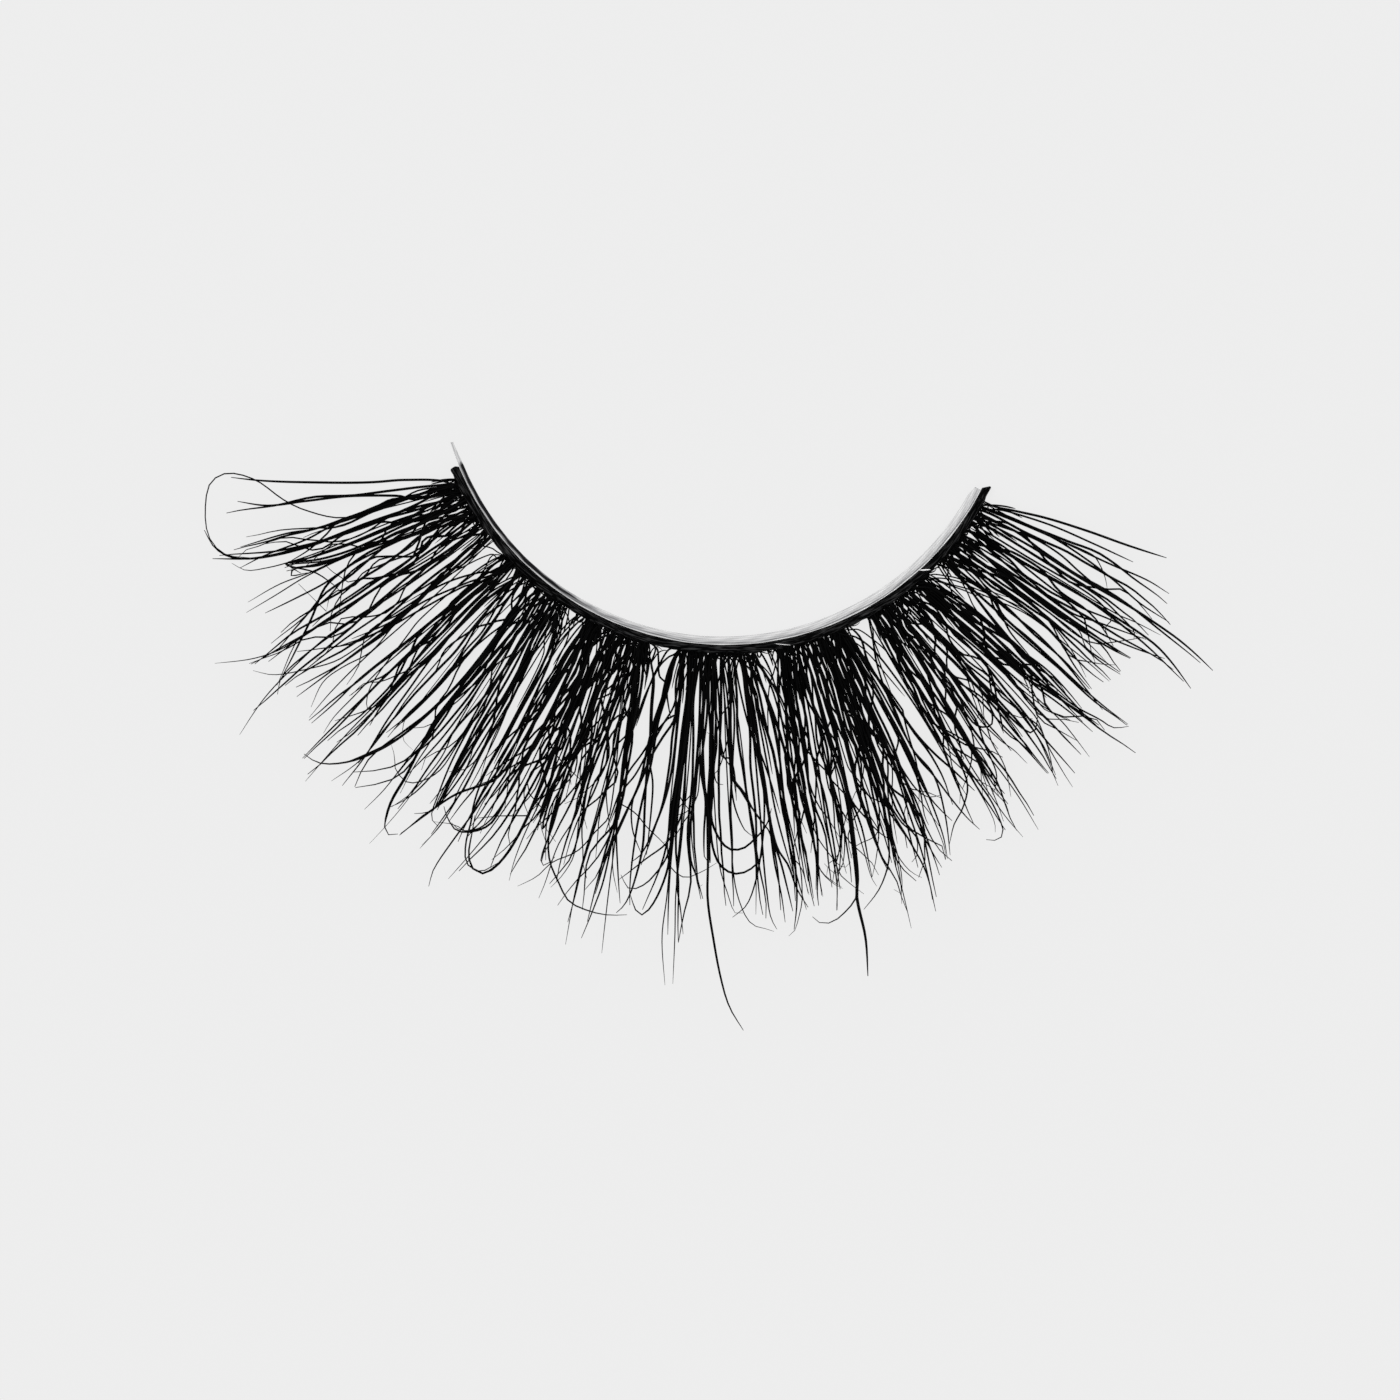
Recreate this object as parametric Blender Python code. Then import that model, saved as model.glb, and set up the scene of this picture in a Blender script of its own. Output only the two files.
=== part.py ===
"""False eyelash strip, lying on its underside with the lash tips curling up.

Metres, +Z up. The origin is the middle of the band's underside. The band is an arc that opens
towards +Y, +X runs along it, and the lashes fan out towards -Y and to both sides.

A place on the strip is given as a pair: the angle in degrees from straight down (-Y) about the
arc's centre, positive towards +X, and the distance in millimetres beyond the band's inner edge.
"""

import bpy
import numpy as np

MM = 0.001
SMOOTH_BELOW = 80.0

# Band: black thread, wound and glued, with a flat underside.
INNER_RADIUS = 14.41
BAND_WIDTH = 0.62
BAND_HEIGHT = 0.55
BAND_ENDS = (-66.6, 63.1)
STUB_STARTS = (-64.6, 60.6)
STUB_SHARE = 0.74
STUB_TAPER = 0.6
BAND_STATIONS = 45
# Band's cross-section, anticlockwise seen from its right end: share of the width from the inner
# edge, share of the height.
BAND_PROFILE = ((0.0, 0.5), (0.22, 1.0), (0.78, 1.0), (1.0, 0.5), (1.0, 0.0), (0.0, 0.0))

# Clear strip, flat along the band's inner edge. It runs past the band's left end.
SEAM_GAP = 0.05
STRIP_WIDTH = 0.3
STRIP_HEIGHT = 0.14
SLIVER_SHARE = 0.45
STRIP_ENDS = (-72.6, 60.4)
STRIP_STATIONS = 49
STRIP_PROFILE = ((0.0, 1.0), (1.0, 1.0), (1.0, 0.0), (0.0, 0.0))

# Lashes: they leave the band a little above the surface, touch it at their belly and curl up.
# Each fan's root is a knotted bar, and its locks start inside it.
ROOT_START = BAND_WIDTH + SEAM_GAP
ROOT_DEPTH = 0.6
ROOT_MARGIN = 0.35
ROOT_BOTTOM = 0.22
ROOT_TOP = 0.52
ROOT_DEGREES_PER_STATION = 1.6
BELLY = 3.4
CURL_RADIUS = 12.0
CURL_END = 11.0
LOCK_START = 0.85
LOCK_SIDES = 5
LOCK_THICKNESS = 0.62
LEAST_THICKNESS = 0.1
TAPER_POWER = 2.4
TAPER_SHARE = 0.8
LOCK_STATIONS = (0.0, 0.12, 0.28, 0.45, 0.62, 0.78, 0.91)

# The seven fans, from the left, one row for each lock of hairs. Its columns are the angles at the
# root, half way and at the tip in degrees, the reach beyond the inner edge and the greatest width.
FANS = {
    "lash_fan_1": (
        (-64.8, -72.1, -76.8, 11.0, 0.26),
        (-64.4, -70.1, -72.4, 11.7, 0.24),
        (-64.0, -66.8, -68.5, 11.6, 0.34),
        (-63.4, -65.0, -68.4, 13.1, 0.42),
        (-62.4, -63.2, -64.7, 10.0, 0.32),
        (-61.4, -61.6, -63.6, 10.0, 0.46),
        (-60.2, -60.9, -55.6, 12.8, 0.42),
        (-58.9, -58.8, -58.4, 11.6, 0.30),
        (-57.4, -57.3, -58.2, 14.6, 0.42),
        (-56.1, -56.4, -56.2, 13.3, 0.40),
        (-54.8, -54.6, -52.8, 15.2, 0.42),
        (-53.6, -53.0, -53.3, 12.4, 0.34),
        (-52.6, -51.4, -51.4, 12.9, 0.34),
    ),
    "lash_fan_2": (
        (-47.8, -47.9, -48.4, 13.2, 0.34),
        (-46.7, -46.8, -46.4, 14.6, 0.46),
        (-45.8, -45.5, -44.6, 15.2, 0.26),
        (-44.8, -44.5, -44.0, 11.1, 0.38),
        (-43.1, -42.8, -42.0, 13.0, 0.44),
        (-41.7, -41.0, -41.6, 10.4, 0.30),
        (-40.3, -39.3, -43.5, 13.5, 0.40),
        (-38.6, -38.3, -36.4, 14.6, 0.56),
        (-37.2, -37.1, -38.4, 11.6, 0.40),
        (-36.2, -35.3, -35.8, 13.5, 0.40),
        (-35.2, -34.4, -32.8, 12.6, 0.42),
        (-34.2, -33.0, -32.4, 12.4, 0.36),
        (-33.7, -31.7, -31.8, 13.6, 0.28),
    ),
    "lash_fan_3": (
        (-27.3, -28.6, -29.6, 14.9, 0.34),
        (-26.8, -27.6, -28.4, 12.2, 0.32),
        (-26.0, -26.2, -28.2, 12.9, 0.44),
        (-24.9, -24.8, -27.3, 14.6, 0.44),
        (-23.4, -23.7, -25.2, 14.1, 0.62),
        (-22.3, -22.8, -21.3, 10.8, 0.40),
        (-21.3, -21.6, -22.6, 13.6, 0.34),
        (-20.3, -20.8, -20.0, 12.5, 0.40),
        (-18.9, -18.9, -20.1, 12.2, 0.60),
        (-17.9, -18.2, -18.9, 13.5, 0.36),
        (-17.0, -17.4, -16.6, 12.8, 0.38),
        (-16.2, -15.9, -15.4, 15.2, 0.42),
        (-15.4, -13.9, -13.6, 14.6, 0.44),
    ),
    "lash_fan_4": (
        (-8.8, -10.6, -9.8, 13.4, 0.36),
        (-7.9, -7.9, -9.4, 11.2, 0.34),
        (-6.8, -6.8, -8.4, 13.8, 0.48),
        (-5.7, -5.9, -5.6, 16.6, 0.42),
        (-4.7, -4.7, -4.3, 14.4, 0.48),
        (-3.6, -4.0, -2.5, 12.6, 0.34),
        (-2.3, -2.2, -2.1, 10.9, 0.46),
        (-2.2, -2.2, 1.4, 19.1, 0.20),
        (-1.2, -1.0, 0.4, 13.4, 0.38),
        (0.4, 0.8, 1.0, 12.9, 0.46),
        (1.6, 2.7, 4.7, 13.9, 0.42),
        (2.6, 3.9, 2.6, 13.0, 0.36),
        (3.3, 5.1, 5.9, 13.4, 0.40),
        (4.0, 7.0, 7.2, 13.0, 0.36),
    ),
    "lash_fan_5": (
        (10.9, 8.9, 9.1, 13.4, 0.34),
        (11.5, 10.3, 9.9, 13.0, 0.42),
        (12.3, 11.3, 11.4, 12.6, 0.42),
        (13.1, 12.5, 12.4, 12.9, 0.44),
        (14.1, 14.0, 13.2, 12.6, 0.56),
        (15.0, 15.3, 12.9, 17.2, 0.32),
        (16.2, 16.7, 15.8, 12.6, 0.38),
        (17.4, 17.5, 16.9, 12.8, 0.42),
        (18.4, 18.6, 18.2, 12.2, 0.36),
        (19.6, 19.8, 18.1, 15.2, 0.64),
        (20.9, 20.7, 20.9, 12.6, 0.40),
        (21.8, 22.3, 22.8, 13.2, 0.44),
        (22.5, 23.4, 20.9, 14.9, 0.34),
        (22.9, 24.7, 24.1, 12.9, 0.34),
        (23.2, 26.1, 27.0, 10.6, 0.26),
    ),
    "lash_fan_6": (
        (29.6, 29.1, 28.4, 12.0, 0.36),
        (30.4, 30.3, 30.5, 13.1, 0.44),
        (31.4, 31.8, 32.3, 11.8, 0.38),
        (32.4, 32.4, 31.4, 13.5, 0.50),
        (33.2, 33.6, 33.5, 13.8, 0.38),
        (34.1, 35.0, 35.8, 9.8, 0.30),
        (35.9, 37.3, 37.6, 11.8, 0.46),
        (37.2, 38.5, 38.2, 12.6, 0.42),
        (38.7, 40.0, 39.0, 13.0, 0.50),
        (39.8, 41.6, 41.8, 12.2, 0.40),
        (40.6, 43.2, 46.0, 14.3, 0.42),
        (41.1, 44.6, 44.8, 10.6, 0.40),
    ),
    "lash_fan_7": (
        (46.9, 46.8, 47.4, 12.8, 0.30),
        (47.6, 48.2, 47.6, 10.0, 0.28),
        (48.5, 49.8, 48.2, 10.2, 0.28),
        (49.4, 50.3, 49.9, 10.7, 0.34),
        (50.4, 51.1, 51.0, 10.8, 0.40),
        (51.5, 52.2, 53.2, 10.9, 0.50),
        (52.7, 53.6, 55.3, 12.0, 0.36),
        (54.3, 56.0, 54.5, 13.9, 0.50),
        (56.0, 57.4, 56.8, 10.6, 0.56),
        (57.3, 58.5, 57.1, 14.4, 0.34),
        (58.6, 60.3, 59.1, 11.2, 0.30),
        (59.3, 61.6, 61.9, 10.6, 0.42),
        (59.8, 62.9, 64.2, 10.7, 0.30),
        (60.0, 63.9, 65.4, 9.8, 0.22),
    ),
}


def clear_scene():
    """Remove what the startup scene holds."""
    for obj in list(bpy.data.objects):
        bpy.data.objects.remove(obj)


def principled(name, colour, roughness, transmission=0.0):
    """A Principled material in one colour."""
    material = bpy.data.materials.new(name)
    material.use_nodes = True
    shader = material.node_tree.nodes["Principled BSDF"]
    shader.inputs["Base Color"].default_value = (*colour, 1.0)
    shader.inputs["Roughness"].default_value = roughness
    shader.inputs["Metallic"].default_value = 0.0
    shader.inputs["Transmission Weight"].default_value = transmission
    return material


def on_strip(degrees, beyond, height):
    """Points in millimetres: angle about the arc's centre, distance beyond the inner edge, height."""
    turn = np.radians(degrees)
    radius = INNER_RADIUS + beyond
    centre_y = INNER_RADIUS + BAND_WIDTH / 2
    x = radius * np.sin(turn)
    y = centre_y - radius * np.cos(turn)
    return np.stack(np.broadcast_arrays(x, y, height), axis=-1)


def skin_faces(rings, sides):
    """Quads between neighbouring rings, so that a ring that runs anticlockwise seen from ahead faces out."""
    ring = np.arange(rings - 1)[:, None] * sides
    corner = np.arange(sides)[None, :]
    following = (corner + 1) % sides
    quads = np.stack(
        [ring + corner, ring + following, ring + sides + following, ring + sides + corner], axis=-1
    )
    return quads.reshape(-1, 4).tolist()


def new_object(name, points, faces, material, helper=False):
    """An object from points in millimetres. A helper is drawn as a wire and isn't rendered."""
    mesh = bpy.data.meshes.new(name)
    mesh.from_pydata((points * MM).tolist(), [], faces)
    mesh.validate()
    mesh.shade_smooth()
    mesh.set_sharp_from_angle(angle=np.radians(SMOOTH_BELOW))
    mesh.materials.append(material)
    obj = bpy.data.objects.new(name, mesh)
    if helper:
        obj.hide_render = True
        obj.display_type = "WIRE"
    return obj


def swept_along_arc(name, profile, degrees, inner, width, height, bottom, material):
    """A closed bar: the profile's shares of width and height carried along the arc of these angles."""
    across, up = np.array(profile).T
    inner, width, height = (
        np.broadcast_to(size, degrees.shape)[:, None] for size in (inner, width, height)
    )
    points = on_strip(degrees[:, None], inner + width * across, bottom + height * up)
    rings, sides = points.shape[:2]
    faces = skin_faces(rings, sides)
    faces.append(list(range(sides))[::-1])
    faces.append(list(range((rings - 1) * sides, rings * sides)))
    return new_object(name, points.reshape(-1, 3), faces, material)


def curl_height(beyond):
    """Height of a lash's underside: a parabola that touches down at the belly, then a straight rise."""
    curved = np.minimum(beyond, CURL_END)
    rise = (curved - BELLY) ** 2 / (2 * CURL_RADIUS)
    slope = (CURL_END - BELLY) / CURL_RADIUS
    return rise + slope * (beyond - curved)


def lock_object(name, root, middle, tip, reach, width, material):
    """One tapered lock. Its angle is the quadratic through root, middle and tip; it ends in a point."""
    share = np.array([*LOCK_STATIONS, 1.0])
    degrees = (
        root * (1 - share) * (1 - 2 * share)
        + middle * 4 * share * (1 - share)
        + tip * share * (2 * share - 1)
    )
    beyond = LOCK_START + (reach - LOCK_START) * share
    wide = width * (1 - TAPER_SHARE * share**TAPER_POWER)
    thick = np.maximum(wide * LOCK_THICKNESS, LEAST_THICKNESS)
    path = on_strip(degrees, beyond, curl_height(beyond) + thick / 2)
    ahead = np.gradient(path, axis=0)
    ahead /= np.linalg.norm(ahead, axis=1, keepdims=True)
    aside = np.cross((0.0, 0.0, 1.0), ahead)
    aside /= np.linalg.norm(aside, axis=1, keepdims=True)
    above = np.cross(ahead, aside)
    around = np.radians(90 + 360 * np.arange(LOCK_SIDES) / LOCK_SIDES)
    level = np.sin(around[1:]).min()
    rings = (
        path[:-1, None, :]
        + aside[:-1, None, :] * (np.cos(around)[None, :, None] * wide[:-1, None, None] / 2)
        + above[:-1, None, :] * (np.sin(around)[None, :, None] * thick[:-1, None, None] / (-2 * level))
    )
    count = len(LOCK_STATIONS)
    points = np.vstack([rings.reshape(-1, 3), path[-1:]])
    faces = skin_faces(count, LOCK_SIDES)
    faces.append(list(range(LOCK_SIDES))[::-1])
    last = (count - 1) * LOCK_SIDES
    end = count * LOCK_SIDES
    for corner in range(LOCK_SIDES):
        faces.append([last + corner, last + (corner + 1) % LOCK_SIDES, end])
    return new_object(name, points, faces, material, helper=True)


def build_band(material):
    """The band: full width under the lashes, thinner on the bare stubs, flat below."""
    degrees = np.linspace(*BAND_ENDS, BAND_STATIONS)
    first, last = STUB_STARTS
    share = np.interp(
        degrees,
        [first - STUB_TAPER, first + STUB_TAPER, last - STUB_TAPER, last + STUB_TAPER],
        [STUB_SHARE, 1.0, 1.0, STUB_SHARE],
    )
    return swept_along_arc(
        "band", BAND_PROFILE, degrees, 0.0, BAND_WIDTH * share, BAND_HEIGHT * share, 0.0, material
    )


def build_strip(material):
    """The clear strip: it narrows to a sliver where it runs past the band's left end."""
    degrees = np.linspace(*STRIP_ENDS, STRIP_STATIONS)
    width = STRIP_WIDTH * np.interp(degrees, [STRIP_ENDS[0], BAND_ENDS[0]], [SLIVER_SHARE, 1.0])
    return swept_along_arc(
        "clear_strip", STRIP_PROFILE, degrees, -SEAM_GAP - width, width, STRIP_HEIGHT, 0.0, material
    )


def build_fan(name, rows, material):
    """A fan: its knotted root follows the band, and a Boolean fuses every lock to it."""
    first, last = rows[0][0] - ROOT_MARGIN, rows[-1][0] + ROOT_MARGIN
    stations = 2 + round((last - first) / ROOT_DEGREES_PER_STATION)
    degrees = np.linspace(first, last, stations)
    fan = swept_along_arc(
        name, STRIP_PROFILE, degrees, ROOT_START, ROOT_DEPTH, ROOT_TOP - ROOT_BOTTOM, ROOT_BOTTOM, material
    )
    locks = bpy.data.collections.new(name + "_locks")
    locks.hide_render = True
    bpy.context.scene.collection.children.link(locks)
    for number, row in enumerate(rows, 1):
        locks.objects.link(lock_object(f"{name}_lock_{number}", *row, material))
    fuse = fan.modifiers.new("Fuse locks", "BOOLEAN")
    fuse.operation = "UNION"
    fuse.solver = "EXACT"
    fuse.operand_type = "COLLECTION"
    fuse.collection = locks
    return fan


clear_scene()
thread = principled("black_thread", (0.008, 0.008, 0.009), 0.7)
clear_film = principled("clear_film", (0.9, 0.9, 0.9), 0.25, transmission=0.8)
lash_fibre = principled("lash_fibre", (0.006, 0.006, 0.007), 0.4)
pieces = [build_band(thread), build_strip(clear_film)]
for fan_name, fan_rows in FANS.items():
    pieces.append(build_fan(fan_name, fan_rows, lash_fibre))
for piece in pieces:
    bpy.context.scene.collection.objects.link(piece)
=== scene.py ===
"""A strip of false eyelashes on a light table: thread band, clear strip and seven fans of lashes.

The order is that of the work: the band first, then the clear strip, then each fan as it is tied on.
A place on the strip is an angle in degrees about the centre of the band's arc, 0 at the middle and
growing to the right, and a distance in millimetres beyond the band's inner edge.
"""

import bpy
import numpy as np
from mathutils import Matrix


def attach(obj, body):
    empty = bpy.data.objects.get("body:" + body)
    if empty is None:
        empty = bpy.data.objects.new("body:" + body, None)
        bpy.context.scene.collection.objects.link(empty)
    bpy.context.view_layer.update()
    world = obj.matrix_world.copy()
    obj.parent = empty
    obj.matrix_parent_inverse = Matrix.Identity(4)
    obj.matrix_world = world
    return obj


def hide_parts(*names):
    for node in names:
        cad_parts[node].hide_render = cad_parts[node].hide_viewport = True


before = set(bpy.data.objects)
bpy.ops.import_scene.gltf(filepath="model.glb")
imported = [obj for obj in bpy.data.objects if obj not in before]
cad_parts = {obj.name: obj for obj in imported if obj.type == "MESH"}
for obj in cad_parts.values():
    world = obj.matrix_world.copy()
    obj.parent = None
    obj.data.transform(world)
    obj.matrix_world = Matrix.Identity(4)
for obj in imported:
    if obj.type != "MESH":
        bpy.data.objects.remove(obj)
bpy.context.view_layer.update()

# Band. Strands of black cotton thread are laid together with a slow twist and set with black glue,
# which leaves a flat underside for the eyelid. It is cut off bare at both ends, where strands show.
MM = 0.001
INNER_RADIUS = 14.41
BAND_WIDTH = 0.62
THREAD_WIDTH = 0.46
BAND_HEIGHT = 0.55
ARC_CENTRE_Y = INNER_RADIUS + BAND_WIDTH / 2


def on_strip(degrees, beyond, height):
    """Points in metres. The angle turns about the arc's centre, at the inner radius plus the distance
    beyond, and the height is above the table."""
    turn = np.radians(degrees)
    radius = INNER_RADIUS + beyond
    x = radius * np.sin(turn)
    y = ARC_CENTRE_Y - radius * np.cos(turn)
    return MM * np.stack(np.broadcast_arrays(x, y, height), axis=-1)


def surface(name, points, faces, material, slot, **values):
    """A piece from points in metres. Each further value is kept on the mesh, one number for each
    point."""
    mesh = bpy.data.meshes.new(name)
    mesh.from_pydata(points.reshape(-1, 3).tolist(), [], faces)
    mesh.shade_smooth()
    mesh.materials.append(material)
    for value_name, value in values.items():
        kept = mesh.attributes.new(value_name, "FLOAT", "POINT")
        spread = np.broadcast_to(value, points.shape[:-1])
        kept.data.foreach_set("value", spread.ravel().astype(np.float32))
    piece = bpy.data.objects.new(name, mesh)
    bpy.context.scene.collection.objects.link(piece)
    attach(piece, "root")
    return piece


def skin(bars, rings, sides):
    """Faces over closed bars of like rings: quads between neighbouring rings, and a flat face at each
    end."""
    bar = np.arange(bars)[:, None, None] * rings * sides
    ring = np.arange(rings - 1)[None, :, None] * sides
    corner = np.arange(sides)[None, None, :]
    here = bar + ring + corner
    beside = bar + ring + (corner + 1) % sides
    quads = np.stack([here, beside, beside + sides, here + sides], axis=-1).reshape(-1, 4)
    start = np.arange(bars)[:, None] * rings * sides + np.arange(sides)[::-1]
    end = (np.arange(bars)[:, None] + 1) * rings * sides - 1 - np.arange(sides)[::-1]
    return [*quads.tolist(), *start.tolist(), *end.tolist()]


def finish_nodes(name, roughness, sheen=0.0, specular=0.5):
    """A Principled finish, with its tree and shader for the rest of its nodes."""
    material = bpy.data.materials.new(name)
    material.use_nodes = True
    shader = material.node_tree.nodes["Principled BSDF"]
    shader.inputs["Roughness"].default_value = roughness
    shader.inputs["Sheen Weight"].default_value = sheen
    shader.inputs["Specular IOR Level"].default_value = specular
    return material, material.node_tree, shader


def ranged(tree, source, low, high, target):
    """Joins a share from 0 to 1 to a socket, stretched from low to high."""
    stretch = tree.nodes.new("ShaderNodeMapRange")
    stretch.inputs["To Min"].default_value = low
    stretch.inputs["To Max"].default_value = high
    tree.links.new(source, stretch.inputs["Value"])
    tree.links.new(stretch.outputs["Result"], target)


def ramped(tree, source, colours, target):
    """Joins a share from 0 to 1 to a colour socket, through evenly spaced colours."""
    ramp = tree.nodes.new("ShaderNodeValToRGB")
    for step in range(len(colours) - 2):
        ramp.color_ramp.elements.new((step + 1) / (len(colours) - 1))
    for element, colour in zip(ramp.color_ramp.elements, colours):
        element.color = (*colour, 1.0)
    tree.links.new(source, ramp.inputs["Fac"])
    tree.links.new(ramp.outputs["Color"], target)


def noise(tree, scale):
    """Cloudy noise on the object's own coordinates; its scale is in waves for each metre."""
    place = tree.nodes.new("ShaderNodeTexCoord")
    cloud = tree.nodes.new("ShaderNodeTexNoise")
    cloud.inputs["Scale"].default_value = scale
    cloud.inputs["Detail"].default_value = 3.0
    tree.links.new(place.outputs["Object"], cloud.inputs["Vector"])
    return cloud.outputs["Fac"]


def drawn_noise(tree, scale, detail=3.0):
    """Noise drawn out along a thread. Its place is what the mesh keeps as lengthwise, across and
    upward."""
    place = tree.nodes.new("ShaderNodeCombineXYZ")
    for socket, value_name in zip(place.inputs, ("lengthwise", "across", "upward")):
        value = tree.nodes.new("ShaderNodeAttribute")
        value.attribute_name = value_name
        tree.links.new(value.outputs["Fac"], socket)
    cloud = tree.nodes.new("ShaderNodeTexNoise")
    cloud.inputs["Scale"].default_value = scale
    cloud.inputs["Detail"].default_value = detail
    tree.links.new(place.outputs["Vector"], cloud.inputs["Vector"])
    return cloud.outputs["Fac"]


def bumped(tree, shader, source, depth, strength):
    """Presses a pattern into the surface; depth is in metres."""
    bump = tree.nodes.new("ShaderNodeBump")
    bump.inputs["Strength"].default_value = strength
    bump.inputs["Distance"].default_value = depth
    tree.links.new(source, bump.inputs["Height"])
    tree.links.new(bump.outputs["Normal"], shader.inputs["Normal"])


band_black = (0.0005, 0.0005, 0.0006)
# The paler colour of the streaks along the band is painted sheen of the thread.
band_painted_sheen = (0.0900, 0.0900, 0.0920)
glue_roughness = 0.32
cotton_roughness = 0.75
band_black_and_painted_sheen = (band_black, band_black, band_painted_sheen)
streaks_per_mm = 16.0
streak_drawn = 12.0
fibre_depth = 0.014
fibre_strength = 0.6
glued_clouds = 700.0

black_thread, tree, shader = finish_nodes("black_thread", cotton_roughness, sheen=0.003, specular=0.012)
# Lighter streaks drawn along the thread: painted sheen in the base colour.
ramped(tree, drawn_noise(tree, streaks_per_mm), band_black_and_painted_sheen, shader.inputs["Base Color"])
ranged(tree, noise(tree, glued_clouds), cotton_roughness, glue_roughness, shader.inputs["Roughness"])
bumped(tree, shader, drawn_noise(tree, 1.5 * streaks_per_mm, detail=4.0), fibre_depth * MM, fibre_strength)

band_sides = 48
band_stations = 520
band_strands = 4
band_turn_mm = 7.5
box_roundness = 0.75
groove_share = 0.09
nodule_share = 0.09
over_height = 1.06
thread_twist = 0.12
end_share = 0.002
end_rounding = 0.2
band_start = (-67.5, -67.9, -67.8)
band_end = (62.9, 63.4, 63.9)
neck_at = (60.6, 61.6, 62.6, 63.4)
neck_share = (1.0, 0.86, 0.82, 0.9)


def band_points(around, along):
    """The band as a function of two shares. Its section is a rounded box, a power of cosine and sine.
    Its strands swell like rope with grooves that turn slowly along it, sines set nodules on its outer
    side, and whatever falls below the table is pressed flat. Beside the points it gives the length
    along the band, drawn short, and the places across and up it, in millimetres."""
    cosine, sine = np.cos(2 * np.pi * around), np.sin(2 * np.pi * around)
    across = np.sign(cosine) * np.abs(cosine) ** box_roundness
    upward = np.sign(sine) * np.abs(sine) ** box_roundness
    length_mm = np.radians(band_end[1] - band_start[1]) * INNER_RADIUS * along
    turned = 2 * np.pi * around - 2 * np.pi * length_mm / band_turn_mm
    rope = np.abs(np.sin(band_strands / 2 * turned)) ** 0.5
    nodules = np.sin(length_mm * 9.1 + 2 * np.sin(length_mm * 2.3)) * np.cos(length_mm * 1.7 + 6 * around)
    swell = 1 - groove_share * (1 - rope) + nodule_share * nodules * np.clip(across, 0, 1)
    start = np.interp(across, (-1, 0, 1), band_start)
    end = np.interp(across, (-1, 0, 1), band_end)
    degrees = start + (end - start) * along
    slim = np.interp(degrees, neck_at, neck_share)
    tip = np.clip(np.minimum(along, 1 - along) / end_share, 0.0, 1.0)
    slim = slim * (1 - end_rounding + end_rounding * np.sqrt(tip * (2 - tip)))
    beyond = THREAD_WIDTH / 2 * (slim + across * swell * slim)
    height = BAND_HEIGHT / 2 * slim * (1 + upward * swell * over_height)
    height = np.maximum(height, 0.0)
    lengthwise = np.broadcast_to(length_mm / streak_drawn, height.shape)
    twist = thread_twist * np.sin(2 * np.pi * length_mm / band_turn_mm)
    return on_strip(degrees, beyond, height), lengthwise, beyond + twist, height


around = np.arange(band_sides)[None, :] / band_sides
along = np.r_[0, 0.001, 0.002, np.linspace(0.004, 0.996, band_stations), 0.998, 0.999, 1][:, None]
band_grid, lengthwise, across, upward = band_points(-around, along)
band_faces = skin(1, *band_grid.shape[:2])
band = surface("band_thread", band_grid[None], band_faces, black_thread, "black_thread",
               lengthwise=lengthwise, across=across, upward=upward)
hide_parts("band")

# Clear strip. A clear, springy film runs along the band's inner edge and keeps its arc. On the left it
# is folded narrow, and the fold's black line is painted shade; on the right it lies open, with pale
# grey painted shade along the seam and the creases. A sliver passes the band's left end, and two
# threads of the dried glue that holds it lie across the band; their milky white is painted light.
STRIP_WIDTH = (0.12, 0.23, 0.23, 0.33, 0.42, 0.44, 0.3)
STRIP_WIDTH_AT = (-72.6, -67.5, -45.0, -25.0, 10.0, 60.4, 62.4)
STRIP_HEIGHT = 0.14
SEAM_GAP = 0.01
strip_sides = 64
strip_stations = 300
strip_roundness = 0.8
edge_thinning = 0.45
# The fold, seam and crease values below are painted shade on the clear film.
fold_beyond = -0.16
fold_waver = 0.012
fold_half = 0.085
fold_painted_shade = (0.02, 0.12, 1.5, 1.4, 0.85, 0.4, 0.16)
fold_painted_shade_at = (-72.0, -68.4, -67.4, -42.0, -34.0, -26.0, 0.0)
seam_beyond = -0.07
seam_waver = 0.02
seam_half = 0.035
seam_painted_shade = (0.1, 0.15, 0.35, 0.45, 0.5, 0.45, 0.1)
seam_painted_shade_at = (-68.0, -50.0, -30.0, -10.0, 30.0, 59.0, 61.5)
# Colours of the painted shade, darkest at the fold, over the film's own clear colour.
painted_shade_dark = (0.006, 0.006, 0.007)
painted_shade_grey = (0.40, 0.40, 0.41)
film_clear = (0.95, 0.95, 0.95)
film_painted_shade = 0.12
crease_painted_shades = (0.1, 0.06)
film_roughness = (0.08, 0.35)
film_clouds = 2500.0
film_dents = 6000.0
film_depth = 0.004

clear_film, tree, shader = finish_nodes("clear_film", 0.18)
shader.inputs["Transmission Weight"].default_value = 1.0
shader.inputs["IOR"].default_value = 1.2
# The film's base colour darkens with the painted shade the mesh keeps: dark at the fold, grey at the seam.
unshaded_reader = tree.nodes.new("ShaderNodeAttribute")
unshaded_reader.attribute_name = "clearness"
ramped(tree, unshaded_reader.outputs["Fac"], (painted_shade_dark, painted_shade_grey, film_clear), shader.inputs["Base Color"])
ranged(tree, noise(tree, film_clouds), *film_roughness, shader.inputs["Roughness"])
bumped(tree, shader, noise(tree, film_dents), film_depth * MM, 0.3)


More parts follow.
